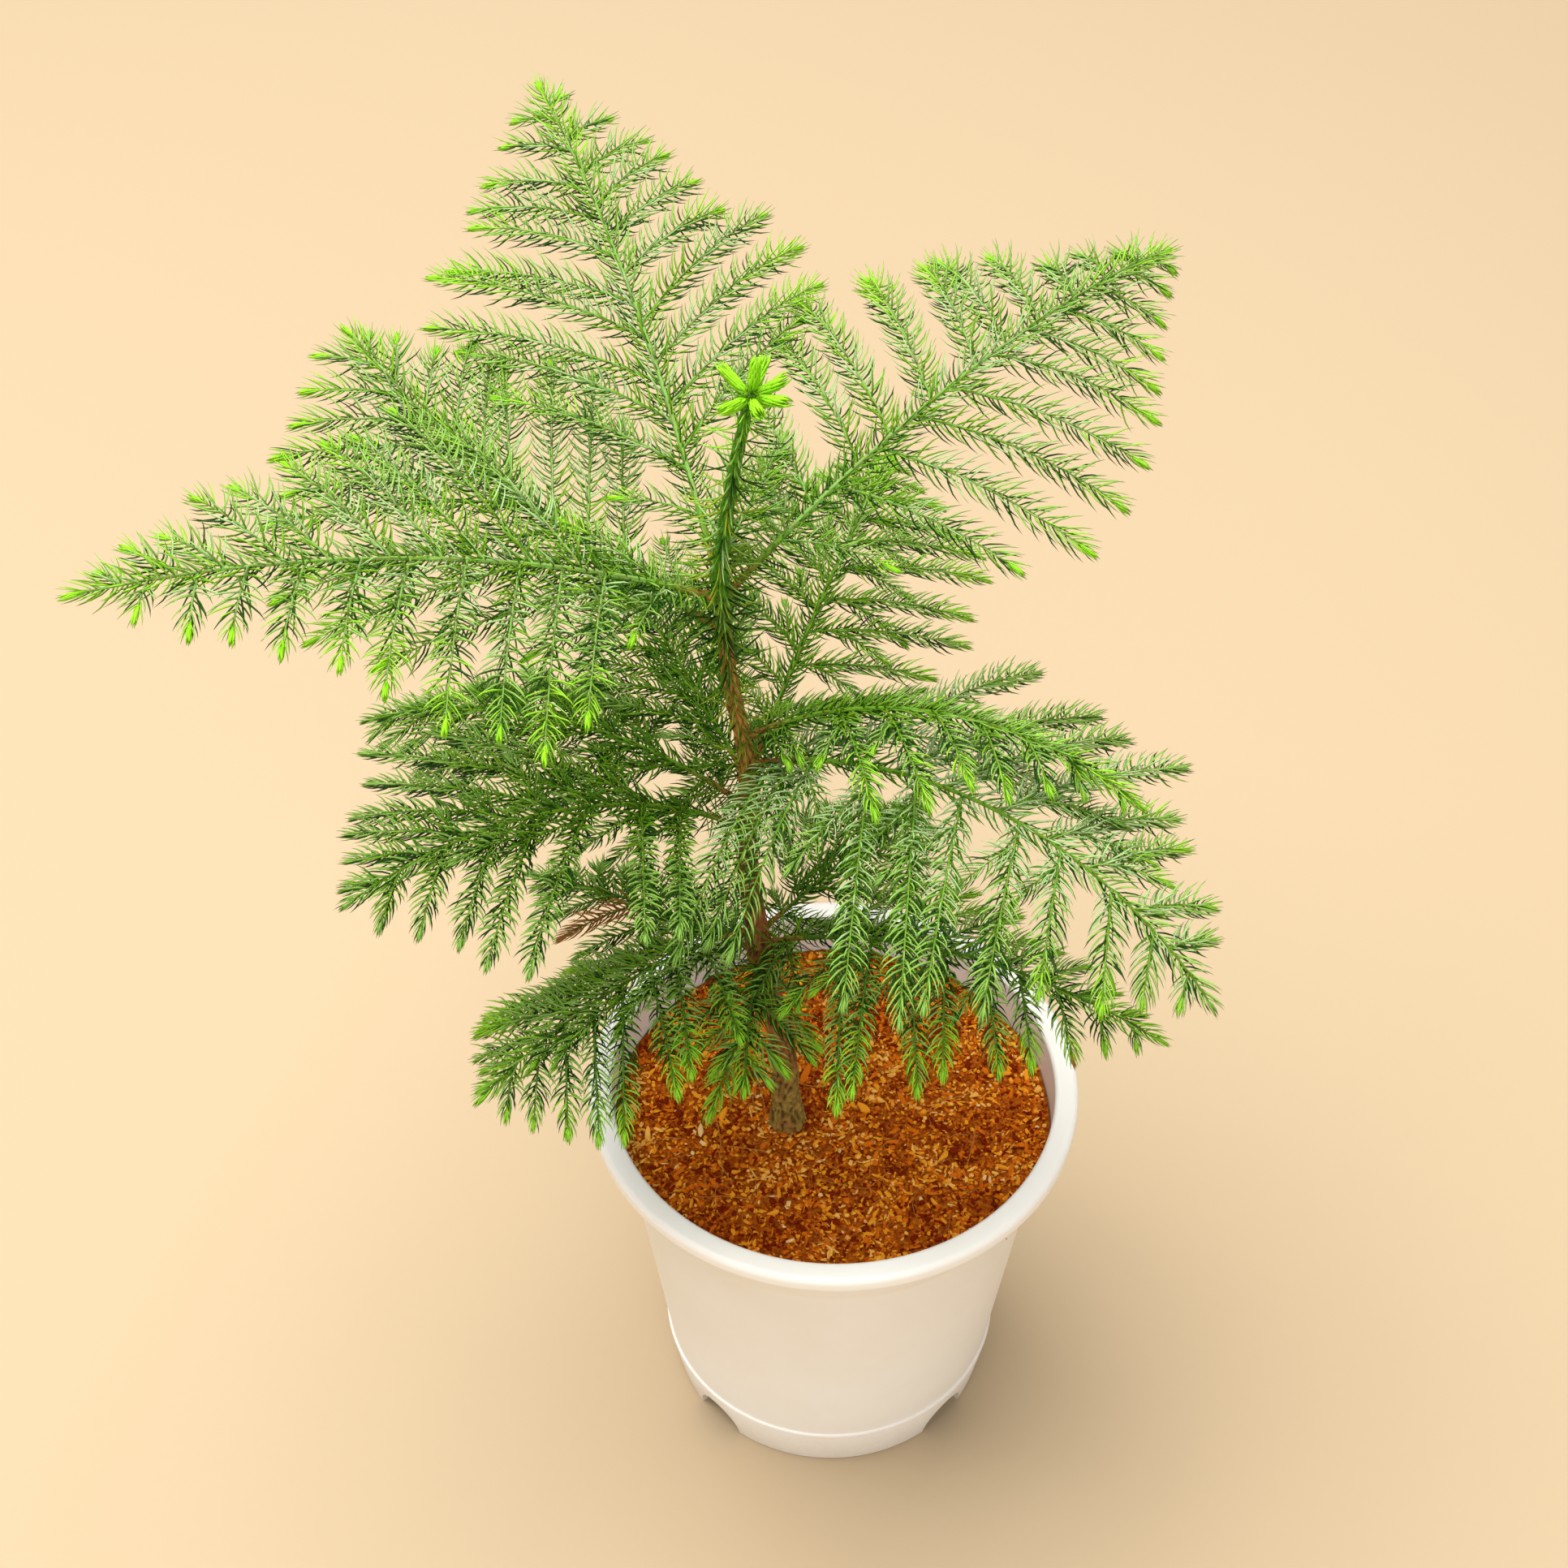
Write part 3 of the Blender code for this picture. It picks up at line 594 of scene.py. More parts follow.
def foot_twigs(row, points, ways, chance):
    """The weak twigs on the frond's foot, close to the trunk: the short ones, then the long."""
    for share in FOOT_TWIGS.get(row.name, FOOT_TWIGS[row.whorl]):
        for side in (1, -1):
            way = along(ways, share)
            across = UP.cross(way).normalized() * side
            reach = (row.left if side > 0 else row.right) * MM * chance.uniform(*FOOT_TWIG_REACH)
            first = (way * 0.75 + across + UP * chance.uniform(-0.25, 0.25)).normalized()
            start = along(points, share + chance.uniform(-0.02, 0.02))
            yield Twig(twig_line(start, first, reach, row.sag), SIDE_TWIG_RADIUS, 2)
    for share in LONG_FOOT_TWIGS.get(row.name, ()):
        way = along(ways, share)
        across = UP.cross(way).normalized()
        first = (way * 0.05 - across + UP * chance.uniform(-0.1, 0.25)).normalized()
        reach = row.right * MM * chance.uniform(*LONG_TWIG_REACH)
        yield Twig(twig_line(along(points, share), first, reach, row.sag * 1.5), BRANCHLET_RADIUS, 1)


def twigs_of(row, seed):
    """Every twig of a frond: its stem, its branchlets with their side twigs, then its foot's."""
    points, ways = frond_axis(row)
    chance = random.Random(100 + seed)
    shares = [BOUGH_SHARE + (STEM_END - BOUGH_SHARE) * k / AXIS_STEPS for k in range(AXIS_STEPS + 1)]
    yield Twig([along(points, share) for share in shares], stem_radius(row), 0)
    for start, first, length, sag in branchlets(row, seed):
        length -= TIP_LENGTH
        line = twig_line(start, first, length, sag)
        yield Twig(line, BRANCHLET_RADIUS, 1)
        if row.whorl != "top" and length >= SIDE_TWIGS_FROM:
            yield side_twig(line, length, row.sag, chance)
    yield from foot_twigs(row, points, ways, chance)


TWIGS = {row.name: list(twigs_of(row, seed)) for seed, row in enumerate(FRONDS)}
print("twigs:", sum(len(twigs) for twigs in TWIGS.values()))

# %% [markdown]
# ## Needles
#
# The needles are soft green awls about a centimetre long, which leave the twig at a wide angle and
# curve forward along it. One needle is a three-sided cone, cut across twice, shaped and bent in its
# own plane. There are tens of thousands, so its points are then copied as arrays, which is far
# quicker than copying objects.

# %% One needle
NEEDLE_CUTS = (0.3, 0.66)
NEEDLE_FOOT = 0.62
NEEDLE_BELLY = 1.1
BEND_STEPS = 24
Shape = namedtuple("Shape", "points faces")


def shape_of(bm):
    """A bmesh of triangles as arrays, to be copied many times."""
    bm.verts.index_update()
    points = np.array([corner.co for corner in bm.verts])
    faces = np.array([[corner.index for corner in face.verts] for face in bm.faces])
    bm.free()
    return Shape(points, faces)


def bent_line(opening, closing, t):
    """Where a needle's line has got to at t, and its angle there, as it turns while it grows."""
    x, y = 0.0, 0.0
    for k in range(BEND_STEPS):
        angle = math.radians(opening + (closing - opening) * t * (k + 0.5) / BEND_STEPS)
        x += math.cos(angle) * t / BEND_STEPS
        y += math.sin(angle) * t / BEND_STEPS
    return x, y, math.radians(opening + (closing - opening) * t)


def needle_shape(opening, closing, thickness):
    """A needle of unit length, along the twig in X and out from it in Y.

    Its line leaves the twig at the opening angle and has turned to the closing angle at its tip.
    """
    bm = bmesh.new()
    bmesh.ops.create_cone(bm, cap_ends=True, segments=3, radius1=1, radius2=0, depth=1)
    bmesh.ops.remove_doubles(bm, verts=bm.verts, dist=0.001)
    bmesh.ops.translate(bm, verts=bm.verts, vec=(0, 0, 0.5))
    for cut in NEEDLE_CUTS:
        everything = bm.verts[:] + bm.edges[:] + bm.faces[:]
        bmesh.ops.bisect_plane(bm, geom=everything, plane_co=(0, 0, cut), plane_no=(0, 0, 1))
    bmesh.ops.triangulate(bm, faces=bm.faces)
    for corner in bm.verts:
        t = corner.co.z
        width = NEEDLE_FOOT + NEEDLE_BELLY * t - (NEEDLE_FOOT + NEEDLE_BELLY) * t * t
        size = thickness * width / max(1 - t, 0.001)
        x, y, angle = bent_line(opening, closing, t)
        out, across = corner.co.x * size, corner.co.y * size
        corner.co = (x - math.sin(angle) * out, y + math.cos(angle) * out, across)
    bmesh.ops.recalc_face_normals(bm, faces=bm.faces)
    return shape_of(bm)


example = needle_shape(60, 20, 0.035)
print("needle:", len(example.points), "points,", len(example.faces), "faces")


# %% Copies of shapes as arrays
Copies = namedtuple("Copies", "roots ways outs lengths shapes tints")


def unit(vectors):
    return vectors / np.maximum(np.linalg.norm(vectors, axis=1, keepdims=True), 1e-9)


def stamp(shape, roots, ways, outs, lengths):
    """Copies a shape to every root, turned to its way and out, as points and faces."""
    frames = (ways, outs, np.cross(ways, outs))
    spread = sum(shape.points[None, :, k:k + 1] * frames[k][:, None] for k in range(3))
    points = roots[:, None] + spread * lengths[:, None, None]
    offsets = np.arange(len(roots))[:, None, None] * len(shape.points)
    return points.reshape(-1, 3), (shape.faces[None] + offsets).reshape(-1, 3)


def stamped_mesh(shapes, copies, smooth=True):
    """All copies as one mesh: each is of the shape, and has the material, that its numbers name."""
    parts, offset = [], 0
    for number, shape in enumerate(shapes):
        chosen = copies.shapes == number
        points, faces = stamp(shape, *(column[chosen] for column in copies[:4]))
        parts.append((points, faces + offset, np.repeat(copies.tints[chosen], len(shape.faces))))
        offset += len(points)
    points, faces, looks = (np.concatenate(part) for part in zip(*parts))
    mesh = bpy.data.meshes.new("made")
    mesh.vertices.add(len(points))
    mesh.vertices.foreach_set("co", points.astype(np.float32).ravel())
    mesh.loops.add(len(faces) * 3)
    mesh.loops.foreach_set("vertex_index", faces.astype(np.int32).ravel())
    mesh.polygons.add(len(faces))
    mesh.polygons.foreach_set("loop_start", np.arange(len(faces), dtype=np.int32) * 3)
    mesh.polygons.foreach_set("use_smooth", np.full(len(faces), smooth))
    mesh.update(calc_edges=True)
    mesh.polygons.foreach_set("material_index", looks.astype(np.int32))
    return mesh


# %% [markdown]
# ### Greens
#
# Leaves of one plant never share one green. Old needles are dark, or pale with wax, young ones are
# a clean green, and the buds are lime. A pattern wouldn't show on pieces this fine, so each tint is
# a plain material, dealt out to whole sprays and along each twig. Most have a darker partner, which
# is painted shade: the needles under a twig get it, as they stand in shade. The darkest green is
# used only as such painted shade.

# %% Greens
# A tint's second field names its painted shade: the darker tint that needles under a twig get.
Tint = namedtuple("Tint", "colour under")
TINTS = {
    "waxy": Tint((0.34, 0.51, 0.2), "green"),
    "soft": Tint((0.24, 0.44, 0.075), "deep"),
    "fresh": Tint((0.28, 0.58, 0.03), "leaf"),
    "lime": Tint((0.28, 0.65, 0.014), "fresh"),
    "leaf": Tint((0.165, 0.35, 0.014), "deep"),
    "green": Tint((0.08, 0.22, 0.006), "deep"),
    # The darkest green is painted shade only, for needles in the shade of their twig.
    "deep": Tint((0.014, 0.068, 0.002), "deep"),
    "olive": Tint((0.26, 0.36, 0.02), "green"),
    "dry": Tint((0.36, 0.16, 0.035), "dry"),
}
NEEDLE_FINISH = {"roughness": 0.48, "specular": 0.15}
NEEDLE_LOOKS = [
    material("needle_" + name, tint.colour, **NEEDLE_FINISH)[0] for name, tint in TINTS.items()
]
TINT_NUMBERS = {name: number for number, name in enumerate(TINTS)}
# For every tint, the number of its painted-shade partner.
SHADE_PARTNER_NUMBERS = np.array([TINT_NUMBERS[tint.under] for tint in TINTS.values()])
print("tints:", *TINTS)

# %% [markdown]
# ### How each frond is clothed
#
# The top whorl has the longest and most open needles, and lime buds. The large frond that hangs to
# the right is pale with wax, those round it are a clean green, and the oldest ones are dark, with
# short needles that lie closer to the twig. A habit is one such way of growing, and its last number
# says how much denser the needles are on the frond's stem.

# %% Habits
Habit = namedtuple("Habit", "needle per_mm opening closing thickness tints bud stem")
HABITS = {
    "young": Habit(10, 1.9, 62, 24, 0.039, ("leaf", "waxy", "soft", "soft", "fresh"), "lime", 1.2),
    "inner": Habit(9, 1.6, 62, 24, 0.039, ("leaf", "leaf", "soft"), "soft", 1.2),
    "waxy": Habit(9.2, 2.2, 58, 18, 0.047, ("waxy", "waxy", "soft", "soft", "fresh"), "fresh", 0.8),
    "ripe": Habit(8.4, 2.2, 56, 14, 0.05, ("leaf", "soft", "soft", "fresh"), "fresh", 1),
    "old": Habit(8.2, 2.3, 56, 14, 0.052, ("green", "leaf", "soft", "soft"), "soft", 1.1),
}
FROND_HABITS = {
    "top_inner": "inner", "middle_right": "waxy", "middle_far_right": "ripe", "middle_back": "ripe",
    "lower_right": "ripe", "lower_front": "ripe", "lower_left": "ripe",
}
WHORL_HABITS = {"top": "young", "middle": "old", "lower": "old"}
GOLDEN_ANGLE = math.pi * (3 - math.sqrt(5))
UPWARD = 0.15
FLATNESS = 0.36
SHADED_BELOW = -0.1
ROUND_CHANCE = 0.12
WAY_CHANCE = 0.03
NEEDLE_LENGTHS = (0.86, 1.06)
TIP_TAPER = 13 * MM
TIP_LOSS = 0.4
BUD_NEEDLES = 9
BUD_ANGLES = (20, -12)
FAT_BUD, THIN_BUD = 2.4, 1.5
BUD_SHARE = 0.56
BUD_DEPTH = 1.4 * MM
BUD_CURL = 0.1
LEANING, CLOSED = 3, 5


def habit_of(row):
    return HABITS[FROND_HABITS.get(row.name, WHORL_HABITS[row.whorl])]


def shapes_of(habit):
    """Five needles from wide open to leaning forward, as near a tip, and one of a closed bud."""
    turns = (7, 0, -7, -18, -32)
    made = [needle_shape(habit.opening + d, habit.closing + d / 2, habit.thickness) for d in turns]
    fatness = FAT_BUD if habit.bud == "lime" else THIN_BUD
    return [*made, needle_shape(*BUD_ANGLES, habit.thickness * fatness)]


# %% Directions on a twig
def length_of(points):
    return sum((b - a).length for a, b in zip(points, points[1:]))


def sample(points, shares):
    """Places and headings at shares of the way along evenly spaced points, as arrays."""
    line = np.array(points)
    stations = np.linspace(0, 1, len(line))
    slopes = np.gradient(line, axis=0)
    places = np.stack([np.interp(shares, stations, line[:, k]) for k in range(3)], axis=1)
    ways = np.stack([np.interp(shares, stations, slopes[:, k]) for k in range(3)], axis=1)
    return places, unit(ways)


def round_twig(ways, angles):
    """The direction out from the twig at an angle round it, for every heading."""
    across = unit(np.cross(np.array(UP), ways) + np.array((1e-6, 0, 0)))
    over = np.cross(ways, across)
    return np.cos(angles)[:, None] * across + np.sin(angles)[:, None] * over


def square_to(outs, ways):
    return unit(outs - (outs * ways).sum(axis=1, keepdims=True) * ways)


# %% Needles along a twig
def needles_on(points, habit, tints, chance, dense=1.0, size=1.0, radius=0.0, tapers=True):
    """Needles in a spiral all along a twig. Their tints go from the first to the last in turn."""
    length = length_of(points)
    count = max(4, int(length / MM * habit.per_mm * dense))
    shares = (np.arange(count) + 0.5) / count
    roots, ways = sample(points, shares)
    angles = np.arange(count) * GOLDEN_ANGLE + chance.uniform(0, math.tau)
    angles += chance.normal(0, ROUND_CHANCE, count)
    angles -= FLATNESS * np.sin(2 * angles)
    outs = round_twig(ways, angles)
    roots = roots + outs * radius
    ways = unit(ways + chance.normal(0, WAY_CHANCE, ways.shape) + np.array(UP) * UPWARD)
    lengths = habit.needle * size * MM * chance.uniform(*NEEDLE_LENGTHS, count)
    shapes = chance.integers(0, 3, count)
    if tapers:
        near_tip = np.clip((shares * length - length + TIP_TAPER) / TIP_TAPER, 0, 1)
        lengths *= (1 - TIP_LOSS * near_tip**2) * np.minimum(1, 0.72 + shares * 4)
        leaning = near_tip + chance.normal(0, 0.1, count)
        shapes = np.where(leaning > 0.3, LEANING, shapes) + (leaning > 0.7)
    age = shares * len(tints) + chance.normal(0, 0.5, count) + chance.normal(0, 0.35)
    steps = np.clip(age.astype(int), 0, len(tints) - 1)
    numbers = np.array([TINT_NUMBERS[name] for name in tints])[steps]
    # Painted shade: needles that point down, under their twig, take their tint's darker partner.
    shaded = outs[:, 2] + chance.normal(0, 0.25, count) < SHADED_BELOW
    numbers = np.where(shaded, SHADE_PARTNER_NUMBERS[numbers], numbers)
    return Copies(roots, ways, square_to(outs, ways), lengths, shapes, numbers)


# %% Buds, and the mesh of all needles
def bud_on(points, tint, chance, length, count=BUD_NEEDLES, depth=BUD_DEPTH):
    """The closed tuft at a twig's tip: short, fat needles that lean in to one point."""
    shares = np.linspace(max(0, 1 - depth / length_of(points)), 1, count)
    roots, ways = sample(points, shares)
    ways = unit(ways - np.array(UP) * BUD_CURL)
    angles = np.arange(count) * GOLDEN_ANGLE + chance.uniform(0, math.tau)
    outs = square_to(round_twig(ways, angles), ways)
    lengths = length * chance.uniform(0.88, 1.05, count)
    numbers = np.full(count, TINT_NUMBERS[tint])
    return Copies(roots, ways, outs, lengths, np.full(count, CLOSED), numbers)


def needle_mesh(groups, shapes):
    """All needles of a piece as one mesh, and the looks that they use."""
    joined = Copies(*(np.concatenate(column) for column in zip(*groups)))
    used, slots = np.unique(joined.tints, return_inverse=True)
    return stamped_mesh(shapes, joined._replace(tints=slots)), [NEEDLE_LOOKS[k] for k in used]


# %% [markdown]
# ### Foliage by frond
#
# Each frond's needles are one piece, which stands for that frond's solid. Every twig shifts its
# tints a little, so neighbours part from each other. Near the trunk the waxy frond's twigs are
# older and lack its freshest tint. One twig low at the back has died and turned brown, and so has
# one tip on the right.

# %% Foliage by frond
DRY_TWIGS = {"lower_back_left": 7}
DRY_TIPS = {"lower_right": 21}
OLDER_WITHIN = {"middle_right": 88 * MM}
SIDE_TWIG_SIZE = 0.88


def tints_of(row, habit, k, twig):
    """The tints along one twig of a frond, and the tint of its tip."""
    if DRY_TWIGS.get(row.name) == k:
        return ("dry",), "dry"
    if (twig.points[0] - on_trunk(row.node * MM)).length < OLDER_WITHIN.get(row.name, 0):
        tints, tip = habit.tints[:-1], habit.tints[-2]
    else:
        tints, tip = habit.tints, "dry" if DRY_TIPS.get(row.name) == k else habit.bud
    return (("green", *tints) if twig.order == 0 else tints), tip


needle_total = 0
for seed, row in enumerate(FRONDS):
    chance = np.random.default_rng(seed)
    habit = habit_of(row)
    groups = []
    for k, twig in enumerate(TWIGS[row.name]):
        tints, tip = tints_of(row, habit, k, twig)
        dense = habit.stem if twig.order == 0 else 1
        size = SIDE_TWIG_SIZE if twig.order == 2 else 1
        groups.append(needles_on(twig.points, habit, tints, chance, dense, size, twig.radius * 0.5))
        groups.append(bud_on(twig.points, tip, chance, habit.needle * BUD_SHARE * MM))
    mesh, looks = needle_mesh(groups, shapes_of(habit))
    add_piece("needles_" + row.name, mesh, looks, "foliage_" + row.whorl, "foliage_" + row.name)
    needle_total += sum(len(group.roots) for group in groups)
print("needles:", needle_total)

# %% [markdown]
# ## Twigs
#
# A twig is a thin tapering rod, browner on a frond's stem than on its branchlets. Blender's curve
# with a round bevel is the natural tool: one spline for each twig, one curve for each whorl, made a
# mesh at the end with its caps welded.

# %% The twigs' rind
TWIG_COLOURS = {
    "top": ((0.17, 0.33, 0.06), (0.13, 0.22, 0.06)),
    "middle": ((0.13, 0.3, 0.015), (0.22, 0.25, 0.04)),
    "lower": ((0.07, 0.19, 0.012), (0.1, 0.16, 0.02)),
}
TWIG_TAPER = 0.4


def stem_look(name, colour):
    """Green rind, ribbed by the feet of its needles and browner here and there."""
    made, tree, shader = material(name, colour, 0.6, 0.2)
    where = node(tree, "TexCoord").outputs["Object"]
    patches = noise_of(tree, where, 240, 3)
    brown = (colour[0] * 1.1, colour[1] * 0.62, colour[2] * 0.7)
    tree.links.new(ramp(tree, patches, (0.45, colour), (0.75, brown)), shader.inputs["Base Color"])
    bump(tree, shader, noise_of(tree, where, 900, 2), 0.3 * MM, 0.8)
    return made


# %% Twigs
def rods_mesh(lines, bevel_resolution):
    """Tapering round rods, each a spline of one bevelled curve, as a closed mesh."""
    curve = bpy.data.curves.new("rods", "CURVE")
    curve.dimensions = "3D"
    curve.bevel_depth = 1
    curve.bevel_resolution = bevel_resolution
    curve.use_fill_caps = True
    for points, radii, look in lines:
        spline = curve.splines.new("POLY")
        spline.material_index = look
        spline.points.add(len(points) - 1)
        for spot, point, radius in zip(spline.points, points, radii):
            spot.co = (*point, 1)
            spot.radius = radius
    bm = bmesh.new()
    bm.from_mesh(evaluated_mesh(put_in_scene("guide", curve)))
    bmesh.ops.remove_doubles(bm, verts=bm.verts, dist=0.005 * MM)
    bmesh.ops.recalc_face_normals(bm, faces=bm.faces)
    return mesh_of(bm)


def rod_of(twig):
    """A twig's points, its radii and the number of its material: 0, or 1 on a stem."""
    count = len(twig.points)
    radii = [twig.radius * (1 + (TWIG_TAPER - 1) * k / (count - 1)) for k in range(count)]
    return twig.points, radii, int(twig.order == 0)


for whorl, colours in TWIG_COLOURS.items():
    rods = [rod_of(twig) for row in FRONDS if row.whorl == whorl for twig in TWIGS[row.name]]
    looks = [stem_look(part + whorl, colour) for part, colour in zip(("twig_", "stem_"), colours)]
    add_piece("twigs_" + whorl, rods_mesh(rods, 1), looks, "foliage_" + whorl)

# %% [markdown]
# ## Trunk and boughs
#
# The bark shows its age. The upper stem still carries the long diamonds of old leaf bases, and the
# lower stem has flaked to rough brown scales. A flat grid is rolled into a sleeve, and every point
# is pushed in or out by the relief, so the bark's shape is real and not only bump. Each point also
# keeps two numbers for the colour: how young the bark is, and how high its relief stands.

# %% Relief of the bark
TRUNK_SUNK = 0.6 * MM
FLAKY_BELOW = 262 * MM
FLAKY_FADE = 25 * MM
GREEN_FROM = 318 * MM
GREEN_FADE = 24 * MM
TRUNK_GRID = (64, 560)
BOUGH_GRID = (20, 44)
Spot = namedtuple("Spot", "place youth height")


def smooth_step(value, start, end):
    share = min(1, max(0, (value - start) / (end - start)))
    return share * share * (3 - 2 * share)


def leaf_bases(turn, height):
    """Long diamonds between crossing spirals round the stem, 0 in the grooves and 1 on top."""
    ring = Vector((math.cos(math.tau * turn), math.sin(math.tau * turn), height / (3 * MM)))
    drift = 0.35 * noise.noise(ring)
    left = abs(math.sin(math.pi * (8 * turn + height / (9.5 * MM) + drift)))
    right = abs(math.sin(math.pi * (5 * turn - height / (6.5 * MM) + drift)))
    return min(left, right) ** 0.7


def flakes(point):
    """Rough scales, from 0 in the cracks to 1: ridged noise, drawn out along the stem."""
    spot = Vector((point.x, point.y, point.z * 0.5)) / (1.7 * MM)
    ridges = 1 - abs(noise.noise(spot)) * 2.6
    fine = noise.fractal(spot * 1.7, 0.6, 2, 4)
    return min(1, max(0, 0.25 + 0.6 * ridges + 0.35 * fine))


def trunk_surface(turn, rise):
    """A point of the trunk's bark, with its youth and its relief."""
    height = TRUNK_FOOT - TRUNK_SUNK + (TRUNK_TIP - TRUNK_FOOT + TRUNK_SUNK) * rise
    angle = math.tau * turn
    out = Vector((math.cos(angle), math.sin(angle), 0))
    radius = trunk_radius(height)
    spot = on_trunk(height) + out * radius
    old = 1 - smooth_step(height, FLAKY_BELOW - FLAKY_FADE, FLAKY_BELOW + FLAKY_FADE)
    relief = (1 - old) * leaf_bases(turn, height) + old * flakes(spot)
    lumps = 0.3 * noise.noise(spot / (5 * MM))
    push = ((relief - 0.9) * (0.75 + 0.35 * old) + lumps) * MM * min(1, radius / (2.6 * MM))
    patches = 0.16 * noise.noise(spot / (7 * MM))
    young = 0.2 * smooth_step(height, TRUNK_FOOT + 8 * MM, TRUNK_FOOT + 45 * MM) + 0.36 * (1 - old)
    young += 0.44 * smooth_step(height, GREEN_FROM, GREEN_FROM + GREEN_FADE)
    return Spot(spot + out * push, min(1, max(0, young + patches)), relief)


# %% A sleeve of bark
def add_sleeve(bm, around, rings, surface):
    """Rolls a grid into a closed sleeve: surface(u, v) says where each of its points goes."""
    youth = bm.verts.layers.float.get("youth") or bm.verts.layers.float.new("youth")
    height = bm.verts.layers.float.get("height") or bm.verts.layers.float.new("height")
    grid = bmesh.ops.create_grid(bm, x_segments=around, y_segments=rings, size=0.5)["verts"]
    for corner in grid:
        spot = surface(corner.co.x + 0.5, corner.co.y + 0.5)
        corner.co, corner[youth], corner[height] = spot
    bmesh.ops.remove_doubles(bm, verts=grid, dist=0.001 * MM)
    open_edges = [edge for edge in bm.edges if edge.is_boundary]
    bmesh.ops.holes_fill(bm, edges=open_edges, sides=around + 1)
    bmesh.ops.recalc_face_normals(bm, faces=bm.faces)


# %% [markdown]
# ### The bark's colour
#
# The foot is olive brown, the lower stem reddish, the upper stem a lighter brown, and the leader
# green. That order is one colour ramp on the youth that the sleeve keeps. The other number darkens
# the grooves as painted shade, and a noise drawn out along the stem breaks both up, as weather does.

# %% The bark's colour
bark_look, tree, shader = material("flaking_bark", (0.2, 0.1, 0.05), 0.85, 0.2)
where = node(tree, "TexCoord").outputs["Object"]
youth = node(tree, "Attribute", {"attribute_name": "youth"}).outputs["Fac"]
depth = node(tree, "Attribute", {"attribute_name": "height"}).outputs["Fac"]
long_grain = node(tree, "Mapping", Vector=where, Scale=(1, 1, 0.4)).outputs["Vector"]
grain = noise_of(tree, long_grain, 520, 5, 0.65)
bark_ages = ramp(
    tree, youth, (0, (0.44, 0.29, 0.06)), (0.2, (0.36, 0.12, 0.035)), (0.55, (0.5, 0.25, 0.05)),
    (0.78, (0.2, 0.34, 0.03)), (1, (0.12, 0.36, 0.02)),
)
# Painted shade: the colour darkens where the relief stands low, in the grooves.
shade = ramp(tree, depth, (0.05, 0.3), (0.45, 0.8), (0.9, 1))
weather = ramp(tree, grain, (0.3, 0.42), (0.55, 0.95), (0.75, (1.0, 0.93, 0.82)))
bark_colour = mix(tree, 1, mix(tree, 1, bark_ages, shade, "MULTIPLY"), weather, "MULTIPLY")
tree.links.new(bark_colour, shader.inputs["Base Color"])
tree.links.new(ramp(tree, grain, (0.3, 0.95), (0.8, 0.65)), shader.inputs["Roughness"])
bump(tree, shader, noise_of(tree, long_grain, 1900, 5, 0.7), 0.2 * MM, 0.7)

trunk = bmesh.new()
add_sleeve(trunk, *TRUNK_GRID, trunk_surface)
add_piece("trunk_bark", mesh_of(trunk), [bark_look], "bark", "trunk")

# %% Boughs
BOUGH_YOUTH = {"top": (0.5, 0.95), "middle": (0.3, 0.8), "lower": (0.15, 0.7)}
COLLAR_SWELLING = 0.9
COLLAR_MM = 2.5


def bough_surface(row):
    """The bare foot of a frond, from inside the trunk to where its stem takes over."""
    points, _ = frond_axis(row)
    first, last = BOUGH_YOUTH[row.whorl]

    def surface(turn, rise):
        share = rise * (BOUGH_SHARE + 0.004)
        middle = along(points, share)
        way = (along(points, share + 0.02) - middle).normalized()
        across = UP.cross(way).normalized()
        angle = math.tau * turn
        out = across * math.cos(angle) + way.cross(across) * math.sin(angle)
        foot = share * row.length
        collar = COLLAR_SWELLING * math.exp(-max(foot - COLLAR_MM, 0) / COLLAR_MM)
        radius = stem_radius(row) * (1 + collar)
        relief = 0.5 * flakes(middle + out * radius) + 0.5 * leaf_bases(turn, foot * MM)
        push = (relief - 0.45) * 0.4 * MM * min(1, (1 - rise) * 5)
        return Spot(middle + out * (radius + push), first + (last - first) * rise, relief)

    return surface


boughs = bmesh.new()
for row in FRONDS:
    add_sleeve(boughs, *BOUGH_GRID, bough_surface(row))
bough_nodes = ["bough_" + row.name for row in FRONDS]
add_piece("bough_bark", mesh_of(boughs), [bark_look], "bark", *bough_nodes)

# %% [markdown]
# ## Needles on the trunk, and the leader's shoots
#
# The leader is still clothed in long, spreading needles, and some old ones stay on the stem and
# boughs below. At the leader's tip a star of fat lime shoots opens. Each shoot is a very short twig
# packed with needles that close to a point, so the same functions make it.

# %% Needles on the trunk and boughs
SPREADING = Habit(12.4, 1.9, 90, 66, 0.034, (), "lime", 1)
TRUNK_NEEDLES = (
    (378, 402, ("soft", "fresh"), 1.5, 0.85),
    (352, 380, ("waxy", "soft", "olive", "soft"), 1.6, 1),
    (326, 354, ("leaf", "soft", "olive"), 2.1, 1),
    (312, 328, ("green", "green", "leaf"), 1.8, 1),
    (262, 312, ("olive", "leaf", "olive"), 1.0, 0.85),
    (200, 262, ("green", "olive"), 0.22, 0.7),
)
trunk_chance = np.random.default_rng(40)


def needles_on_trunk(low_mm, high_mm, tints, dense, size):
    """Needles on the trunk between two heights, as thick and as long as dense and size say."""
    heights = [(low_mm + (high_mm - low_mm) * k / 20) * MM for k in range(21)]
    radius = trunk_radius(heights[10]) * 0.85
    line = [on_trunk(height) for height in heights]
    return needles_on(line, SPREADING, tints, trunk_chance, dense, size, radius, False)


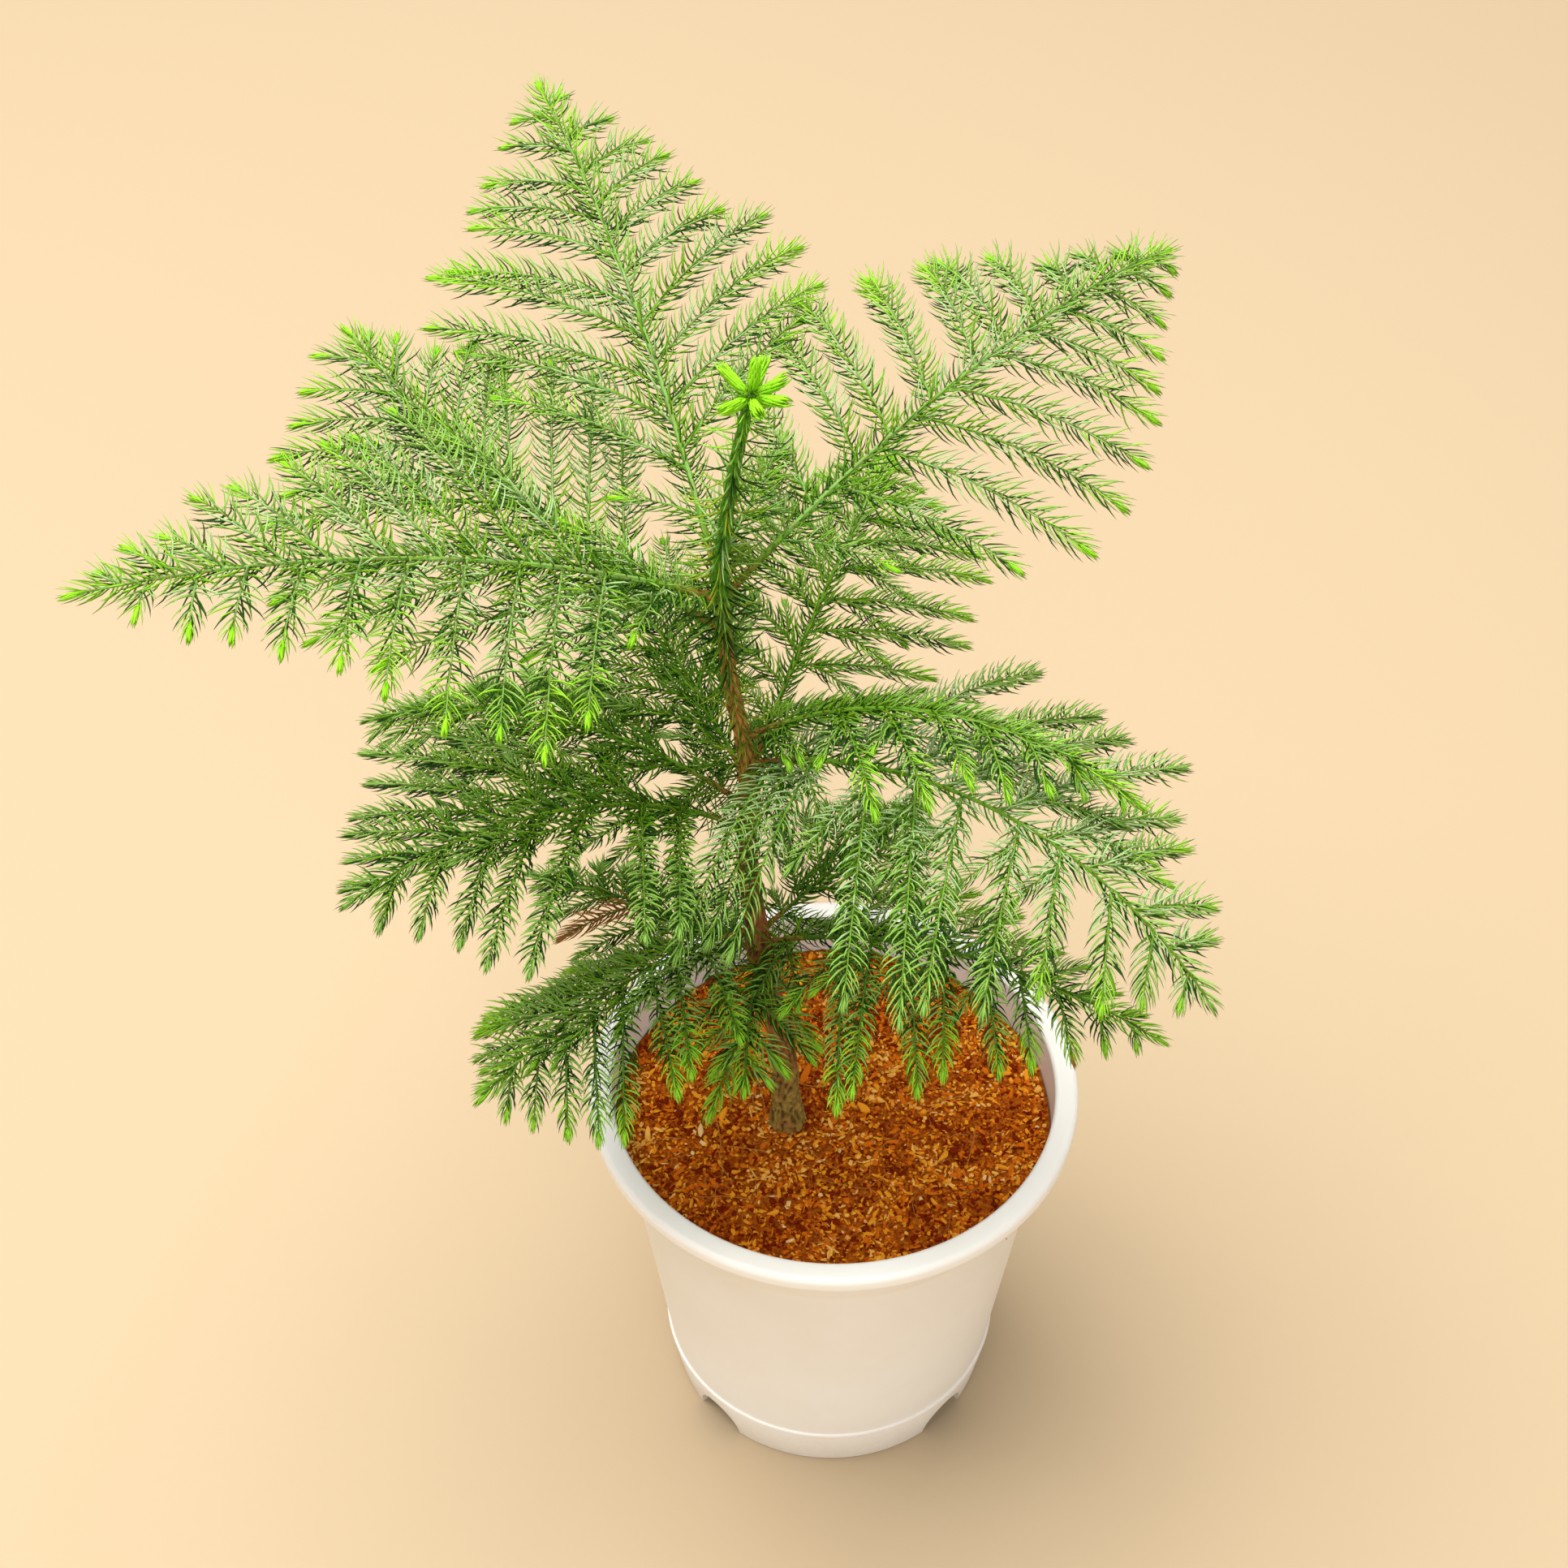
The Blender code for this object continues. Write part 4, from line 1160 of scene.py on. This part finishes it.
leader_needles = [needles_on_trunk(*row) for row in TRUNK_NEEDLES]
FOOT_TINTS = {"top": ("leaf", "soft"), "middle": ("green", "leaf"), "lower": ("green", "leaf")}
for row in FRONDS:
    points, _ = frond_axis(row)
    foot = [along(points, BOUGH_SHARE * (0.12 + 0.88 * k / 8)) for k in range(9)]
    habit = habit_of(row)
    radius = stem_radius(row) * 0.9
    leader_needles.append(
        needles_on(foot, habit, FOOT_TINTS[row.whorl], trunk_chance, 1.4, 1.1, radius, False)
    )

# %% The leader's shoots
ROSETTE = ((140, 24), (66, 30), (-20, 2), (226, 2), (285, 8), (10, 24), (20, 80))
SHOOT_TWIG = 6 * MM
SHOOT_NEEDLE = 7 * MM
SHOOT_NEEDLES = 34
SHOOT_SAG = -0.15
BRACTS = Habit(7, 3.2, 62, 40, 0.05, ("green", "leaf"), "lime", 1)
shoot_heart = on_trunk(TRUNK_TIP) - UP * 1 * MM
for azimuth, rise in ROSETTE:
    length = SHOOT_TWIG * trunk_chance.uniform(0.9, 1.1)
    line = twig_line(shoot_heart, heading(azimuth, rise), length, SHOOT_SAG)
    leader_needles.append(
        bud_on(line, "lime", trunk_chance, SHOOT_NEEDLE, SHOOT_NEEDLES, SHOOT_TWIG * 0.9)
    )
    leader_needles.append(
        needles_on(line[:7], BRACTS, BRACTS.tints, trunk_chance, size=0.8, tapers=False)
    )
leader_shapes = shapes_of(SPREADING)
leader_shapes[CLOSED] = needle_shape(38, -26, 0.085)
mesh, looks = needle_mesh(leader_needles, leader_shapes)
add_piece("leader_needles", mesh, looks, "new_shoots", "foliage_leader_tip")

# %% [markdown]
# ## The growing medium
#
# The pot is filled with coco peat: rust brown crumbs and chips over dark gaps, with pale chips and
# long fibres here and there. Bump alone would look like sand paper, so the bed is a spun disc with
# real hollows, strewn with copies of five lumps. Their tints gather in loose patches, as moist and
# dry spots do.

# %% The bed
SOIL_HEIGHT = 119.7 * MM
SOIL_EDGE = MOUTH_RADIUS - 0.6 * MM
BED_RINGS = 56
BED_STEPS = 160
BED_RELIEF_MM = ((1.1, 24), (0.7, 7), (0.9, 2.2))


def bed_height(x, y):
    """The bed's level at a place: low mounds, small hollows and a slight bank at the wall."""
    spot = Vector((x, y, 0))
    reach = math.hypot(x, y) / SOIL_EDGE
    level = sum(rise * noise.noise(spot / (width * MM)) for rise, width in BED_RELIEF_MM)
    return SOIL_HEIGHT + (level - 0.5 + 0.9 * max(reach - 0.8, 0) * 5) * MM


bed_outline = [(SOIL_EDGE * k / BED_RINGS, SOIL_HEIGHT) for k in range(BED_RINGS + 1)]
bed_outline += [(NECK_RADIUS - WALL - 0.5 * MM, NECK_HEIGHT), (0, NECK_HEIGHT)]
bed = spun(bed_outline, BED_STEPS)
for corner in bed.verts:
    if corner.co.z > SOIL_HEIGHT - 1 * MM:
        corner.co.z = bed_height(corner.co.x - POT_AT.x, corner.co.y - POT_AT.y)
bed_look, tree, shader = material("dark_peat", (0.12, 0.03, 0.005), 0.95, 0.06)
where = node(tree, "TexCoord").outputs["Object"]
crumbs = noise_of(tree, where, 700, 6, 0.75)
EARTH = ((0.35, (0.14, 0.014, 0.001)), (0.5, (0.42, 0.08, 0.004)), (0.7, (0.66, 0.23, 0.016)))
earth = ramp(tree, crumbs, *EARTH)
tree.links.new(earth, shader.inputs["Base Color"])
bump(tree, shader, crumbs, 0.8 * MM, 1)
add_piece("peat_bed", mesh_of(bed), [bed_look], "growing_medium", "growing_medium")

# %% Lumps of peat
CRUMB_TINTS = (
    ((0.2, 0.015, 0.001), 0.24), ((0.66, 0.155, 0.006), 0.36), ((0.86, 0.34, 0.018), 0.29),
    ((0.92, 0.5, 0.1), 0.11),
)
PALE_CHIP, PALE_SHARE = (0.9, 0.6, 0.25), 0.012
PATCH_SIZE = 13 * MM
CRUMBS = 9400
CRUMB_FINISH = {"roughness": 0.9, "specular": 0.08}
crumb_looks = [
    material(f"peat_crumb_{k}", colour, **CRUMB_FINISH)[0] for k, (colour, _) in enumerate(CRUMB_TINTS)
]
crumb_looks.append(material("pale_peat_chip", PALE_CHIP, **CRUMB_FINISH)[0])


def lump(seed, long, flat):
    """A rough grain of unit size: an icosphere whose points are pulled about and stretched."""
    chance = random.Random(seed)
    bm = bmesh.new()
    bmesh.ops.create_icosphere(bm, subdivisions=1, radius=0.5)
    for corner in bm.verts:
        corner.co *= chance.uniform(0.65, 1.2)
    bmesh.ops.scale(bm, verts=bm.verts, vec=(long, 1, flat))
    return shape_of(bm)


LUMP_SIZES = ((1, 0.8), (1.3, 0.6), (2.1, 0.45), (1.7, 0.35), (3, 0.4))
LUMP_SHARES = (0.3, 0.28, 0.2, 0.14, 0.08)
LUMPS = [lump(seed, *size) for seed, size in enumerate(LUMP_SIZES, 1)]


# %% Crumbs and chips
def strewn(chance, count, edge):
    """Even random places on the bed, just over its level, as an array of points."""
    reach = edge * np.sqrt(chance.uniform(0, 1, count))
    turn = chance.uniform(0, math.tau, count)
    x, y = reach * np.cos(turn), reach * np.sin(turn)
    z = np.array([bed_height(a, b) for a, b in zip(x, y)])
    return np.stack([x + POT_AT.x, y + POT_AT.y, z], axis=1)


def random_frames(chance, count, tip):
    """Pairs of crossed directions: the first near level, by as much as tip lets it lean."""
    turn = chance.uniform(0, math.tau, count)
    ways = unit(np.stack([np.cos(turn), np.sin(turn), chance.normal(0, tip, count)], axis=1))
    return ways, unit(np.cross(np.array(UP) + chance.normal(0, tip, (count, 3)), ways))


crumb_chance = np.random.default_rng(7)
places = strewn(crumb_chance, CRUMBS, SOIL_EDGE - 1 * MM)
sizes = (0.7 + crumb_chance.gamma(2.0, 0.26, CRUMBS)) * MM
places[:, 2] += sizes * crumb_chance.uniform(-0.1, 0.4, CRUMBS)
ways, outs = random_frames(crumb_chance, CRUMBS, 0.45)
kinds = crumb_chance.choice(len(LUMPS), CRUMBS, p=LUMP_SHARES)
patches = np.array([noise.noise(Vector(place) / PATCH_SIZE) for place in places])
ranks = np.argsort(np.argsort(crumb_chance.uniform(0, 1, CRUMBS) + 0.6 * patches)) / CRUMBS
tints = np.searchsorted(np.cumsum([share for _, share in CRUMB_TINTS])[:-1], ranks)
tints[crumb_chance.uniform(0, 1, CRUMBS) < PALE_SHARE] = len(CRUMB_TINTS)
crumb_mesh = stamped_mesh(LUMPS, Copies(places, ways, outs, sizes, kinds, tints), smooth=False)
add_piece("peat_crumbs", crumb_mesh, crumb_looks, "growing_medium")

# %% Fibres
FIBRES = 90
fibre_look = material("coir_fibre", (0.5, 0.2, 0.04), 0.8, 0.1)[0]
starts = strewn(crumb_chance, FIBRES, SOIL_EDGE - 12 * MM)
fibre_lines = []
for start in starts:
    spot = Vector(start) + UP * crumb_chance.uniform(0.2, 1.1) * MM
    turn, bend = crumb_chance.uniform(0, math.tau), crumb_chance.normal(0, 0.13)
    step = crumb_chance.uniform(1.2, 3.6) * MM
    line = [spot]
    for k in range(5):
        turn += bend
        way = Vector((math.cos(turn), math.sin(turn), crumb_chance.normal(0, 0.12)))
        line.append(line[-1] + way * step)
    fibre_lines.append((line, [crumb_chance.uniform(0.09, 0.17) * MM] * len(line), 0))
add_piece("peat_fibres", rods_mesh(fibre_lines, 0), [fibre_look], "growing_medium")

# %% Sizes and the end
boxes = {"cad": CAD_BOX, "visual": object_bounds()}
{name: [list(corner) for corner in box] for name, box in boxes.items()}
print("visual box:", [[round(value / MM, 1) for value in corner] for corner in boxes["visual"]])
